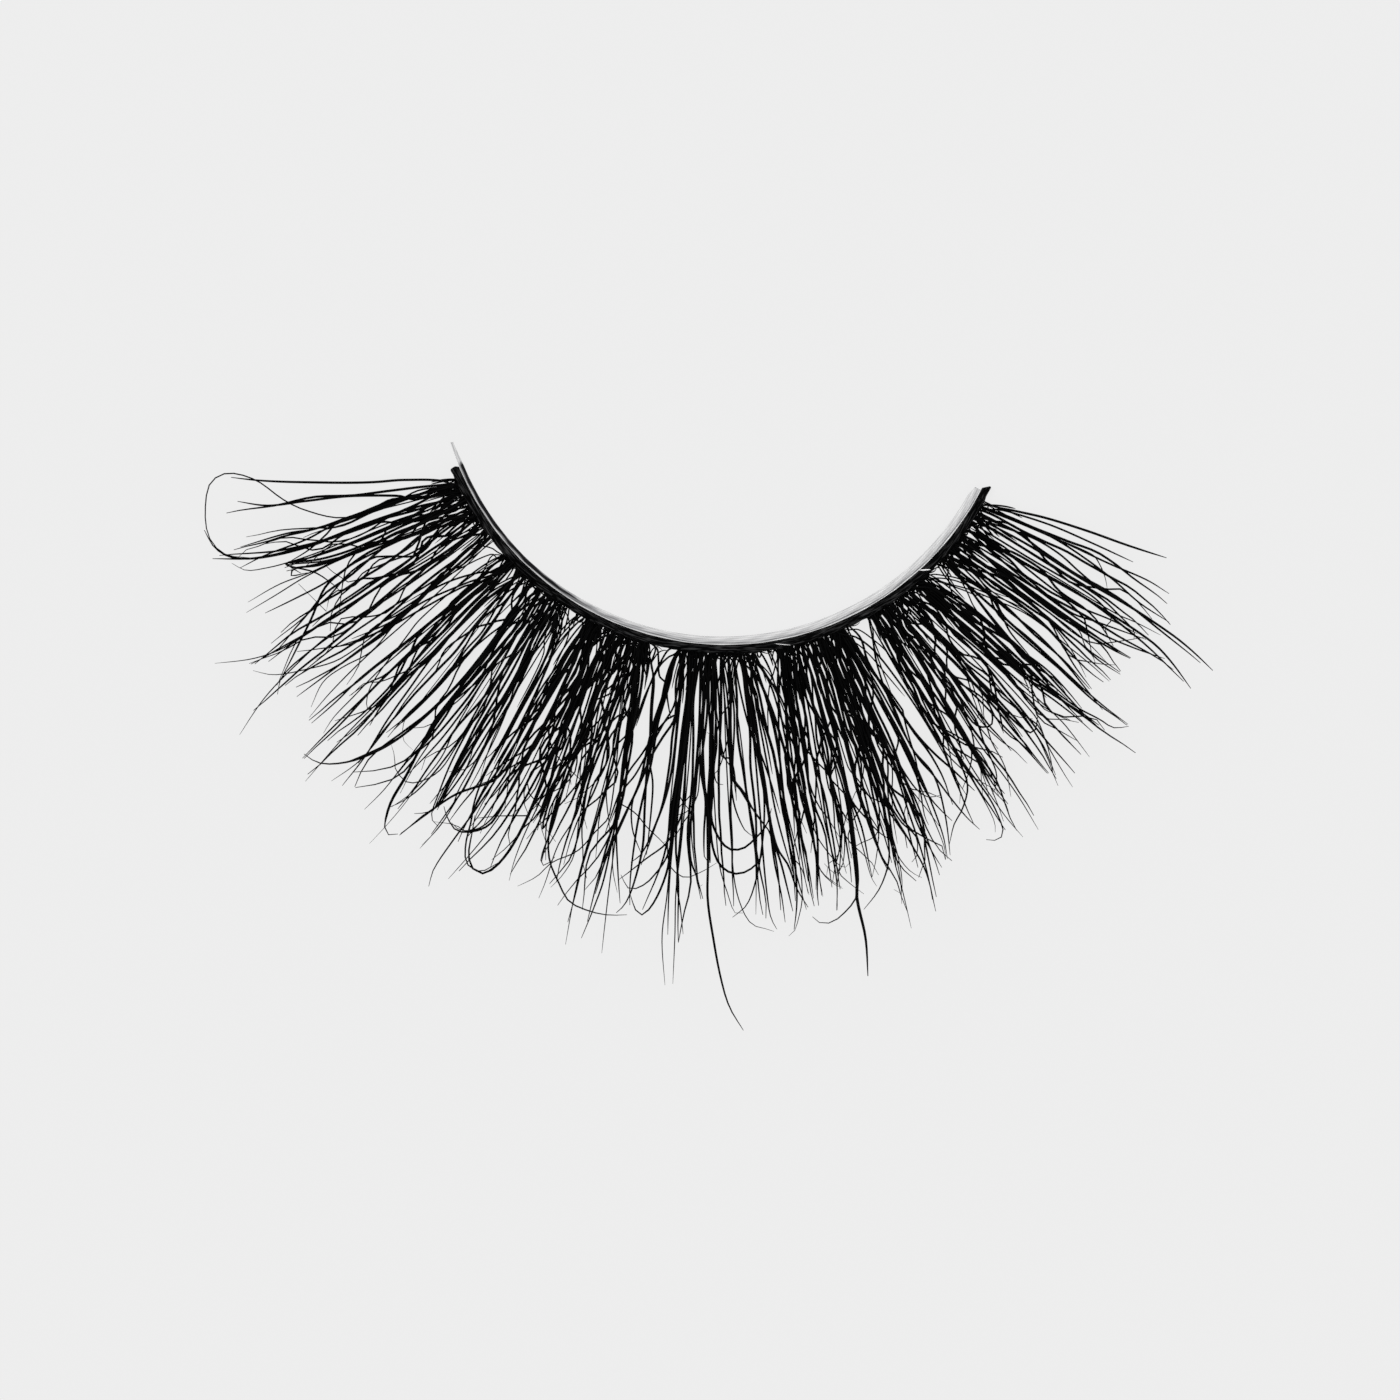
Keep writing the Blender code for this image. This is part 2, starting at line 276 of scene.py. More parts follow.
def strip_points(around, along):
    """The clear strip as a function of two shares, lens-like in section. Its painted shade is a bell
    curve across the fold, a narrower one along the seam, and faint sines for the creases; the unshaded
    share it gives is one less the painted shade."""
    degrees = STRIP_WIDTH_AT[0] + (STRIP_WIDTH_AT[-1] - STRIP_WIDTH_AT[0]) * along
    across, upward = np.cos(2 * np.pi * around), np.sin(2 * np.pi * around)
    width = np.interp(degrees, STRIP_WIDTH_AT, STRIP_WIDTH)
    bead = 1.0 - edge_thinning * across**2
    height = STRIP_HEIGHT / 2 * (1 + bead * upward)
    beyond = -SEAM_GAP - width / 2 + width / 2 * np.sign(across) * np.abs(across) ** strip_roundness
    # The fold's black, the seam's grey and the creases are painted shade on the clear film.
    black = np.interp(degrees, fold_painted_shade_at, fold_painted_shade)
    black = black * (1 + 0.25 * np.sin(degrees * 0.9) * np.sin(degrees * 0.37 + 1))
    fold_line = fold_beyond - fold_waver * np.sin(degrees * 1.3)
    fold = np.exp(-(((beyond - fold_line) / fold_half) ** 2))
    grey = np.interp(degrees, seam_painted_shade_at, seam_painted_shade)
    seam_line = seam_beyond - seam_waver * np.sin(degrees * 0.47 + 2)
    seam = np.exp(-(((beyond - seam_line) / seam_half) ** 2))
    creases = (film_painted_shade + crease_painted_shades[0] * np.sin(beyond * 62 + 2 * np.sin(degrees * 0.3))
               + crease_painted_shades[1] * np.sin(degrees * 1.1 + beyond * 20))
    return on_strip(degrees, beyond, height), np.clip(1 - black * fold - grey * seam - creases, 0, 1)


around = np.arange(strip_sides)[None, :] / strip_sides
along = np.linspace(0, 1, strip_stations)[:, None]
strip_grid, clearness = strip_points(-around, along)
strip_faces = skin(1, *strip_grid.shape[:2])
strip = surface("clear_edge_strip", strip_grid[None], strip_faces, clear_film, "clear_film",
                clearness=clearness)
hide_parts("clear_strip")

# Columns of the glue's ends: the angle and the distance beyond where each thread starts and stops.
glue_ends = (
    ((42.1, 0.0), (43.9, 0.37)),
    ((9.8, 0.16), (12.7, 0.38)),
)
glue_widths = (0.085, 0.03)
# The glue's milky white and its clearer tone are painted light across the black band.
glue_painted_light = (0.75, 0.75, 0.74)
glue_painted_light_pale = (0.95, 0.95, 0.95)
glue_stations = 24
glue_sides = 8
glue_lift = 0.02
glue_flatness = 0.3

# The glue threads' white base colour is painted light.
glue_with_painted_light, tree, shader = finish_nodes("glue_with_painted_light", 0.35)
ramped(tree, noise(tree, 4000.0), (glue_painted_light, glue_painted_light_pale), shader.inputs["Base Color"])
ranged(tree, noise(tree, 3000.0), 0.2, 0.5, shader.inputs["Roughness"])
bumped(tree, shader, noise(tree, 9000.0), 0.003 * MM, 0.3)


def glue_threads(ends, widths):
    """Threads that lie on the band from end to end. Each follows the rounded box of the band's
    section, and its width is the square root of a sine of its length."""
    share = np.linspace(0, 1, glue_stations)
    start, stop = np.array(ends)[:, 0, :, None], np.array(ends)[:, 1, :, None]
    degrees, beyond = np.moveaxis(start + (stop - start) * share, 1, 0)
    across = np.clip(np.abs(2 * beyond / THREAD_WIDTH - 1), 0, 1)
    top = (1 - across ** (2 / box_roundness)) ** (box_roundness / 2)
    top = BAND_HEIGHT / 2 * (1 + over_height * top)
    taper = np.sqrt(np.sin(np.pi * np.clip(share, 0.01, 0.99)))
    half = (np.array(widths)[:, None] / 2 * taper)[..., None]
    turn = 2 * np.pi * np.arange(glue_sides) / glue_sides
    return on_strip(degrees[..., None], beyond[..., None] + half * np.cos(turn),
                    top[..., None] + glue_lift + glue_flatness * half * np.sin(turn))


glue_grid = glue_threads(glue_ends, glue_widths)
surface("glue_threads_painted_light", glue_grid, skin(*glue_grid.shape[:3]), glue_with_painted_light, "clear_film")

# First fan, at the outer corner of the eye. Each fan is a bunch of black synthetic hairs, looped and
# knotted on the thread. The hairs gather in locks, cross over to the next lock, and taper to wisps.
HAIR_SIDES = 5
HAIR_STATIONS = 34
LOOSE_STATIONS = 40
ROOT_BEYOND = 0.36
BELLY = 3.4
CURL_RADIUS = 12.0
CURL_END = 11.0
STIFF = 0.2
HEAVY = 0.145
MEDIUM = 0.115
FINE = 0.08
FAINT = 0.05
wander_mm = (0.26, 0.26, 0.27, 0.3, 0.33, 0.36, 0.4, 0.44, 0.56)
evened = (1.0, 1.0, 0.8, 0.5, 0.2, 0.0, 0.0, 0.0, 0.0)
wander_kept = 0.35
leader_wander = 0.3
drawn_in = 0.4
cut_shorter = 0.31
tip_bend = 1.5
most_bend = 2.4
kink_mm = 0.02
ripple_mm = 0.05
belly_spread = 0.4
curl_spread = (0.92, 1.15)
lock_layer = (0.05, 0.32)
lock_tied = (0.18, 0.46)
lock_thickness = (0.095, 0.15)
places_below = 0.3
places_above = 0.7
root_slimming = 0.36
root_slim_share = 0.1
length_slimming = 0.06
tip_slimming = 0.7
evenly_tied = 0.75
evenly_tied_from = 4.0
tied_outside = 1.2
tied_spread = 0.7
tied_limit = 1.4
carried_from = 1.2
carried_spread = 0.4
loose_tied = 0.3
loose_lift = (0.12, 0.3)
loose_rise = 0.25
fibre_black = (0.0003, 0.0003, 0.0004)
fibre_soft = (0.0018, 0.0018, 0.0019)

lash_fibre, tree, shader = finish_nodes("lash_fibre", 0.42, specular=0.02)
tone = tree.nodes.new("ShaderNodeAttribute")
tone.attribute_name = "tone"
ramped(tree, tone.outputs["Fac"], (fibre_black, fibre_soft), shader.inputs["Base Color"])
ranged(tree, noise(tree, 3000.0), 0.32, 0.6, shader.inputs["Roughness"])
bumped(tree, shader, noise(tree, 16000.0), 0.003 * MM, 0.25)


def smooth(points, knots, at):
    """Curves through the given points, which stand at the given knots: between two points each is the
    cubic whose slope at a point is that from its neighbour before to its neighbour after."""
    slopes = np.empty_like(points)
    slopes[:, 1:-1] = (points[:, 2:] - points[:, :-2]) / (knots[2:] - knots[:-2])[None, :, None]
    slopes[:, 0] = (points[:, 1] - points[:, 0]) / (knots[1] - knots[0])
    slopes[:, -1] = (points[:, -1] - points[:, -2]) / (knots[-1] - knots[-2])
    piece = np.clip(np.searchsorted(knots, at, side="right") - 1, 0, len(knots) - 2)
    step = (knots[piece + 1] - knots[piece])[None, :, None]
    t = (at - knots[piece])[None, :, None] / step
    near, far = points[:, piece], points[:, piece + 1]
    return ((1 + 2 * t) * (1 - t) ** 2 * near + t**2 * (3 - 2 * t) * far
            + step * t * (1 - t) ** 2 * slopes[:, piece] - step * t**2 * (1 - t) * slopes[:, piece + 1])


def curl_height(beyond, belly=BELLY, radius=CURL_RADIUS):
    """Height of a lash: a parabola that touches down at the belly, then a straight rise."""
    curved = np.minimum(beyond, CURL_END)
    return (curved - belly) ** 2 / (2 * radius) + (CURL_END - belly) / radius * (beyond - curved)


def hairs(name, paths, thickness, tones):
    """Round hairs along paths in metres. Each is slimmer where it is tied, by an exponential of its
    length, and thins by the ninth power of its length to a fine tip."""
    count, stations = paths.shape[:2]
    share = np.linspace(0, 1, stations)
    slim_root = root_slimming * np.exp(-share / root_slim_share)
    radii = 1 - slim_root - length_slimming * share - tip_slimming * share**9
    radii = MM * thickness[:, None] / 2 * radii
    ahead = np.gradient(paths, axis=1)
    ahead /= np.linalg.norm(ahead, axis=2, keepdims=True)
    aside = np.cross((0.0, 0.0, 1.0), ahead)
    aside /= np.linalg.norm(aside, axis=2, keepdims=True)
    above = np.cross(ahead, aside)
    turn = 2 * np.pi * np.arange(HAIR_SIDES) / HAIR_SIDES
    ring = aside[:, :, None] * np.cos(turn)[:, None] + above[:, :, None] * np.sin(turn)[:, None]
    points = paths[:, :, None] + ring * radii[:, :, None, None]
    points[..., 2] = np.maximum(points[..., 2], 0.0)
    return surface(name, points, skin(count, stations, HAIR_SIDES), lash_fibre, "lash_fibre",
                   tone=tones[:, None, None])


def lock_hairs(name, locks, hairs_per_mm, seed):
    """The gathered hairs of a fan. A lock's line is the quadratic through its root, middle and tip. A
    hair's place among the locks is a smooth walk: it starts evenly along the fan, and over the first
    part of its length goes over to its own lock. A sine draws it toward the nearest line, so that
    hairs run together, part and cross, which leaves long lozenges of light between them."""
    rng = np.random.default_rng(seed)
    root, middle, tip, reach, width = np.array(locks).T
    home = np.repeat(np.arange(len(locks)), np.round(width * hairs_per_mm).astype(int))
    count = len(home)
    leader = np.r_[True, home[1:] != home[:-1]]
    even = np.linspace(0, 1, HAIR_STATIONS)
    share = even**1.8
    line = (root[:, None] * (1 - share) * (1 - 2 * share) + middle[:, None] * 4 * share * (1 - share)
            + tip[:, None] * share * (2 * share - 1))
    walk = np.clip(rng.normal(0, 1, (count, len(wander_mm))), -1.8, 1.8) * wander_mm
    for step in range(1, len(wander_mm)):
        walk[:, step] += wander_kept * walk[:, step - 1]
    apart_mm = np.radians(np.abs(np.gradient(middle))) * (INNER_RADIUS + reach / 2)
    held = np.where(leader, leader_wander, 1.0) * np.clip(0.7 / apart_mm[home], 0.35, 1.0)
    walk = home[:, None] + (held / np.clip(apart_mm[home], 0.36, 1.6))[:, None] * walk
    lowest, highest = -places_below, len(locks) - places_above
    walk += (np.linspace(lowest, highest, count) - home)[:, None] * evened
    place = smooth(walk[..., None], np.linspace(0, 1, len(wander_mm)), even)[..., 0]
    drawn = drawn_in * np.clip(0.6 / apart_mm[home], 0.3, 1.0)[:, None]
    place = place - drawn * np.clip(share / 0.3, 0, 1) * np.sin(2 * np.pi * place) / (2 * np.pi)
    place = np.clip(place, lowest, highest)
    lower = np.clip(np.floor(place).astype(int), 0, len(locks) - 2)
    part = place - lower
    station = np.arange(HAIR_STATIONS)
    degrees = line[lower, station] * (1 - part) + line[lower + 1, station] * part
    shorter = np.where(leader, 1.0, 1 - cut_shorter * rng.random(count) ** 1.1)
    whole = np.interp(place[:, -1], np.arange(len(locks)), reach) * shorter
    beyond = ROOT_BEYOND + (whole - ROOT_BEYOND)[:, None] * share
    bend = np.clip(rng.normal(0, tip_bend, count), -most_bend, most_bend)
    bend = np.where(leader, 0.0, bend)[:, None]
    degrees = degrees + bend * np.clip(share / 0.42 - 1.38, 0, None) ** 1.8
    phase = rng.random(count)[:, None]
    kink = kink_mm * np.sin(2 * np.pi * (rng.uniform(3, 7, count)[:, None] * share + phase)) * share
    degrees = degrees + np.degrees(kink / (INNER_RADIUS + beyond))
    belly = BELLY + rng.uniform(-belly_spread, belly_spread, count)[:, None]
    radius = CURL_RADIUS * rng.uniform(*curl_spread, count)[:, None]
    layer = rng.uniform(*lock_layer, count)[:, None]
    ripple = ripple_mm * np.sin(2 * np.pi * (rng.uniform(1.5, 3.0, count)[:, None] * share + phase * 2))
    risen = curl_height(beyond, belly, radius) + layer + ripple
    tied = rng.uniform(*lock_tied, count)[:, None]
    height = tied + (risen - tied) * np.clip(share / 0.12, 0, 1)
    thickness = np.where(leader, lock_thickness[1], rng.uniform(*lock_thickness, count))
    return hairs(name, on_strip(degrees, beyond, height), thickness, rng.random(count))


def loose_hairs(name, rows, locks, seed):
    """Hairs charted one by one: each row has the thickness and the places that the hair passes. Its
    root lies between that of the lock at its first place and its even place along the fan, and the
    further out the first place is, the nearer to the even one."""
    rng = np.random.default_rng(seed)
    root, middle = np.array(locks).T[:2]
    share = np.linspace(0, 1, LOOSE_STATIONS)
    nearest = np.interp([places[0][0] for _, *places in rows], middle, root)
    order = np.argsort(np.argsort(nearest, kind="stable"))
    evenly = np.linspace(root[0] - tied_outside, root[-1] + tied_outside, len(rows))[order]
    paths, thickness = [], []
    for (thick, *places), near, even in zip(rows, nearest, evenly):
        first, far = places[0]
        tied = near + evenly_tied * (even - near) * np.clip(far / evenly_tied_from, 0, 1)
        tied += rng.normal(0, tied_spread)
        tied = np.clip(tied, root[0] - tied_limit, root[-1] + tied_limit)
        if far > carried_from:
            places = [((tied + 2 * first) / 3 + rng.normal(0, carried_spread), far / 2), *places]
        places = np.array([(tied, ROOT_BEYOND), *places])
        knots = np.cumsum(np.r_[0, np.hypot(0.4 * np.diff(places[:, 0]), np.diff(places[:, 1]))])
        degrees, beyond = smooth(places[None], knots, share * knots[-1])[0].T
        lift = rng.uniform(*loose_lift) + loose_rise * share**2
        tie = np.clip(share / 0.06, 0, 1)
        height = loose_tied + (curl_height(beyond) + lift - loose_tied) * tie
        paths.append(on_strip(degrees, beyond, height))
        thickness.append(thick)
    return hairs(name, np.array(paths), np.array(thickness), rng.random(len(rows)))


KNOT_STATIONS = 20
KNOT_BEYOND = 0.3
loop_along = (-0.1, 0.05, 0.45, 0.9, 1.0)
loop_out = (0.0, 0.75, 1.0, 0.7, 0.0)
loop_up = (0.6, 1.0, 1.1, 0.9, 0.3)
loop_thickness = (0.07, 0.1)
leaning_for_each_loop = 3
leaning_degrees = (15, 38)
leaning_straightens = (0.7, 1.8)
leaning_out = (0.6, 3.4)
leaning_thickness = (0.07, 0.105)
laid_hairs = 6
laid_beyond = (0.44, 0.56)
laid_waver = 0.08
laid_thickness = (0.07, 0.09)


def root_knots(name, first, last, count, seed):
    """The tied roots. Small loops leave the band, arch a little way out and go back in further along.
    Short hairs lean across each other, and straighten as the exponential of their way out. A few hairs
    are laid along the band's outer edge, nearer and further by a slow sine."""
    rng = np.random.default_rng(seed)
    share = np.linspace(0, 1, KNOT_STATIONS)
    start = np.linspace(first, last, count) + rng.normal(0, 0.12, count)
    wide = rng.uniform(0.4, 1.5, count) * rng.choice((-1, 1), count)
    tall = rng.uniform(0.1, 0.4, count)
    degrees = start[:, None] + wide[:, None] * np.array(loop_along)
    beyond = KNOT_BEYOND + (tall + 0.14)[:, None] * np.array(loop_out)
    height = 0.16 + rng.uniform(0.05, 0.35, count)[:, None] * np.array(loop_up)
    places = np.stack([degrees, beyond, height], axis=-1)
    degrees, beyond, height = np.moveaxis(smooth(places, np.linspace(0, 1, len(loop_along)), share), -1, 0)
    loops = on_strip(degrees, beyond, height)
    leaning = leaning_for_each_loop * count
    start = np.linspace(first - 0.6, last + 0.6, leaning) + rng.normal(0, 0.25, leaning)
    lean = rng.uniform(*leaning_degrees, leaning) * rng.choice((-1, 1), leaning)
    lean = np.tan(np.radians(lean))
    straightens = rng.uniform(*leaning_straightens, leaning)[:, None]
    out = rng.uniform(*leaning_out, leaning)[:, None] * share
    aside = lean[:, None] * straightens * (1 - np.exp(-out / straightens))
    beyond = KNOT_BEYOND + out
    degrees = start[:, None] + np.degrees(aside / (INNER_RADIUS + beyond))
    tied = rng.uniform(0.15, 0.5, leaning)[:, None]
    settled = curl_height(beyond) + rng.uniform(0.05, 0.35, leaning)[:, None]
    leans = on_strip(degrees, beyond, tied + (settled - tied) * share)
    reach = rng.uniform(4, 8, laid_hairs)[:, None]
    degrees = rng.uniform(first - 1, last - 3, laid_hairs)[:, None] + reach * share
    waves = rng.uniform(1, 2.2, laid_hairs)[:, None] * share + rng.random((laid_hairs, 1))
    beyond = rng.uniform(*laid_beyond, laid_hairs)[:, None] + laid_waver * np.sin(2 * np.pi * waves)
    laid = on_strip(degrees, beyond, rng.uniform(0.12, 0.4, laid_hairs)[:, None])
    thickness = np.r_[rng.uniform(*loop_thickness, count), rng.uniform(*leaning_thickness, leaning),
                      rng.uniform(*laid_thickness, laid_hairs)]
    return hairs(name, np.concatenate([loops, leans, laid]), thickness, rng.random(len(thickness)))


# Columns: angle at the root, half way and at the tip, reach beyond the inner edge, width of the lock.
fan_1_locks = (
    (-64.4, -70.1, -72.4, 11.7, 0.14),
    (-64.0, -66.8, -68.5, 11.6, 0.34),
    (-63.4, -65.0, -68.4, 13.1, 0.42),
    (-62.4, -63.2, -64.7, 10.0, 0.32),
    (-61.4, -61.6, -63.6, 10.0, 0.46),
    (-60.2, -60.9, -55.6, 12.8, 0.42),
    (-58.9, -58.8, -58.4, 11.6, 0.30),
    (-57.4, -57.3, -58.2, 14.6, 0.42),
    (-56.1, -56.4, -56.2, 13.3, 0.40),
    (-54.8, -54.6, -52.8, 15.2, 0.42),
    (-53.6, -53.0, -53.3, 12.4, 0.34),
    (-52.6, -51.4, -51.4, 12.9, 0.34),
)
fan_1_loose = (
    (FINE, (-66.0, 4.2), (-67.2, 6.4), (-70.0, 8.0), (-72.0, 8.8), (-75.1, 9.8), (-76.7, 11.0),
     (-76.4, 11.9), (-75.0, 12.4), (-71.0, 12.9), (-68.5, 12.5), (-66.8, 11.2)),
    (HEAVY, (-66.4, 1.1), (-69.0, 2.8), (-70.3, 4.2), (-72.9, 7.0), (-75.0, 9.6), (-76.2, 11.0)),
    (HEAVY, (-65.2, 2.6), (-67.0, 3.4), (-69.6, 5.6), (-71.0, 7.8), (-71.9, 9.6), (-73.4, 11.0)),
    (MEDIUM, (-66.9, 5.9), (-67.2, 7.8), (-68.0, 9.2), (-68.5, 11.6)),
    (MEDIUM, (-66.7, 7.0), (-66.4, 8.4), (-66.6, 10.6), (-66.4, 12.0)),
    (HEAVY, (-65.0, 5.2), (-65.5, 8.0), (-66.6, 10.9), (-68.4, 13.1)),
    (HEAVY, (-65.1, 5.4), (-65.4, 8.2), (-66.5, 10.8), (-67.8, 12.2), (-69.4, 12.8), (-71.5, 13.0)),
    (MEDIUM, (-66.9, 6.6), (-66.0, 7.4), (-65.1, 8.5), (-64.7, 9.8)),
    (FINE, (-64.3, 8.2), (-64.8, 9.9), (-65.2, 10.8), (-65.9, 11.8), (-67.2, 12.3)),
    (HEAVY, (-62.6, 6.4), (-63.4, 8.2), (-64.7, 9.8), (-64.0, 9.7), (-62.9, 9.4)),
    (HEAVY, (-62.2, 6.2), (-62.8, 8.4), (-63.8, 9.6), (-63.2, 9.9), (-62.6, 9.1)),
    (MEDIUM, (-61.9, 6.0), (-62.9, 8.0), (-64.2, 9.4), (-64.6, 9.9), (-63.8, 9.5)),
    (MEDIUM, (-63.4, 6.6), (-64.1, 8.6), (-64.7, 9.9), (-62.3, 8.8), (-60.0, 8.3), (-58.2, 8.1)),
    (FINE, (-62.2, 6.9), (-62.5, 9.0), (-62.9, 10.6), (-62.7, 12.4)),
    (FINE, (-62.1, 7.0), (-62.3, 9.2), (-62.0, 11.0), (-61.8, 12.7)),
    (HEAVY, (-61.2, 5.6), (-60.6, 7.8), (-60.0, 8.7), (-57.6, 10.1), (-55.2, 11.9), (-54.1, 12.9)),
    (MEDIUM, (-60.9, 6.6), (-60.5, 8.6), (-60.6, 10.2), (-60.8, 11.9)),
    (FINE, (-56.6, 9.4), (-56.5, 11.8), (-57.2, 13.4), (-58.9, 15.3)),
    (MEDIUM, (-54.7, 9.0), (-54.6, 11.2), (-54.1, 12.9), (-52.9, 13.6)),
    (FINE, (-54.9, 9.4), (-54.2, 12.2), (-53.4, 14.2), (-52.0, 16.3)),
    (FINE, (-51.8, 9.9), (-53.4, 11.9), (-54.8, 13.2), (-56.3, 13.9)),
    (MEDIUM, (-52.4, 3.5), (-53.0, 6.0), (-53.4, 9.0), (-53.2, 12.0)),
    (MEDIUM, (-51.7, 4.7), (-51.2, 6.6), (-51.3, 9.4), (-51.5, 12.9)),
    (FINE, (-51.0, 6.9), (-50.2, 8.6), (-50.9, 10.2), (-51.0, 11.4), (-49.7, 12.7)),
    (FINE, (-50.3, 6.4), (-50.1, 9.0), (-49.6, 11.4), (-49.0, 13.1)),
)
fan_1 = lock_hairs("fan_1_lashes", fan_1_locks, 7.0, 15)
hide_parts("lash_fan_1")
loose_hairs("fan_1_loose_hairs", fan_1_loose, fan_1_locks, 12)
root_knots("fan_1_knots", -65.2, -54.4, 14, 13)

# Second fan. It is dense in the middle, with a big dark hair that hooks back to the left and another
# that hooks to the right, and thin hairs that reach across the window to the first fan.
fan_2_locks = (
    (-47.8, -47.9, -48.4, 13.2, 0.34),
    (-46.7, -46.8, -46.4, 14.6, 0.46),
    (-45.8, -45.5, -44.6, 15.2, 0.26),
    (-44.8, -44.5, -44.0, 11.1, 0.38),
    (-43.1, -42.8, -42.0, 13.0, 0.44),
    (-41.7, -41.0, -41.6, 10.4, 0.30),
    (-40.3, -39.3, -43.5, 13.5, 0.40),
    (-38.6, -38.3, -36.4, 14.6, 0.56),
    (-37.2, -37.1, -38.4, 11.6, 0.40),
    (-36.2, -35.3, -35.8, 13.5, 0.40),
    (-35.2, -34.4, -32.8, 12.6, 0.42),
    (-34.2, -33.0, -32.4, 12.4, 0.36),
    (-33.7, -31.7, -31.8, 13.6, 0.28),
)
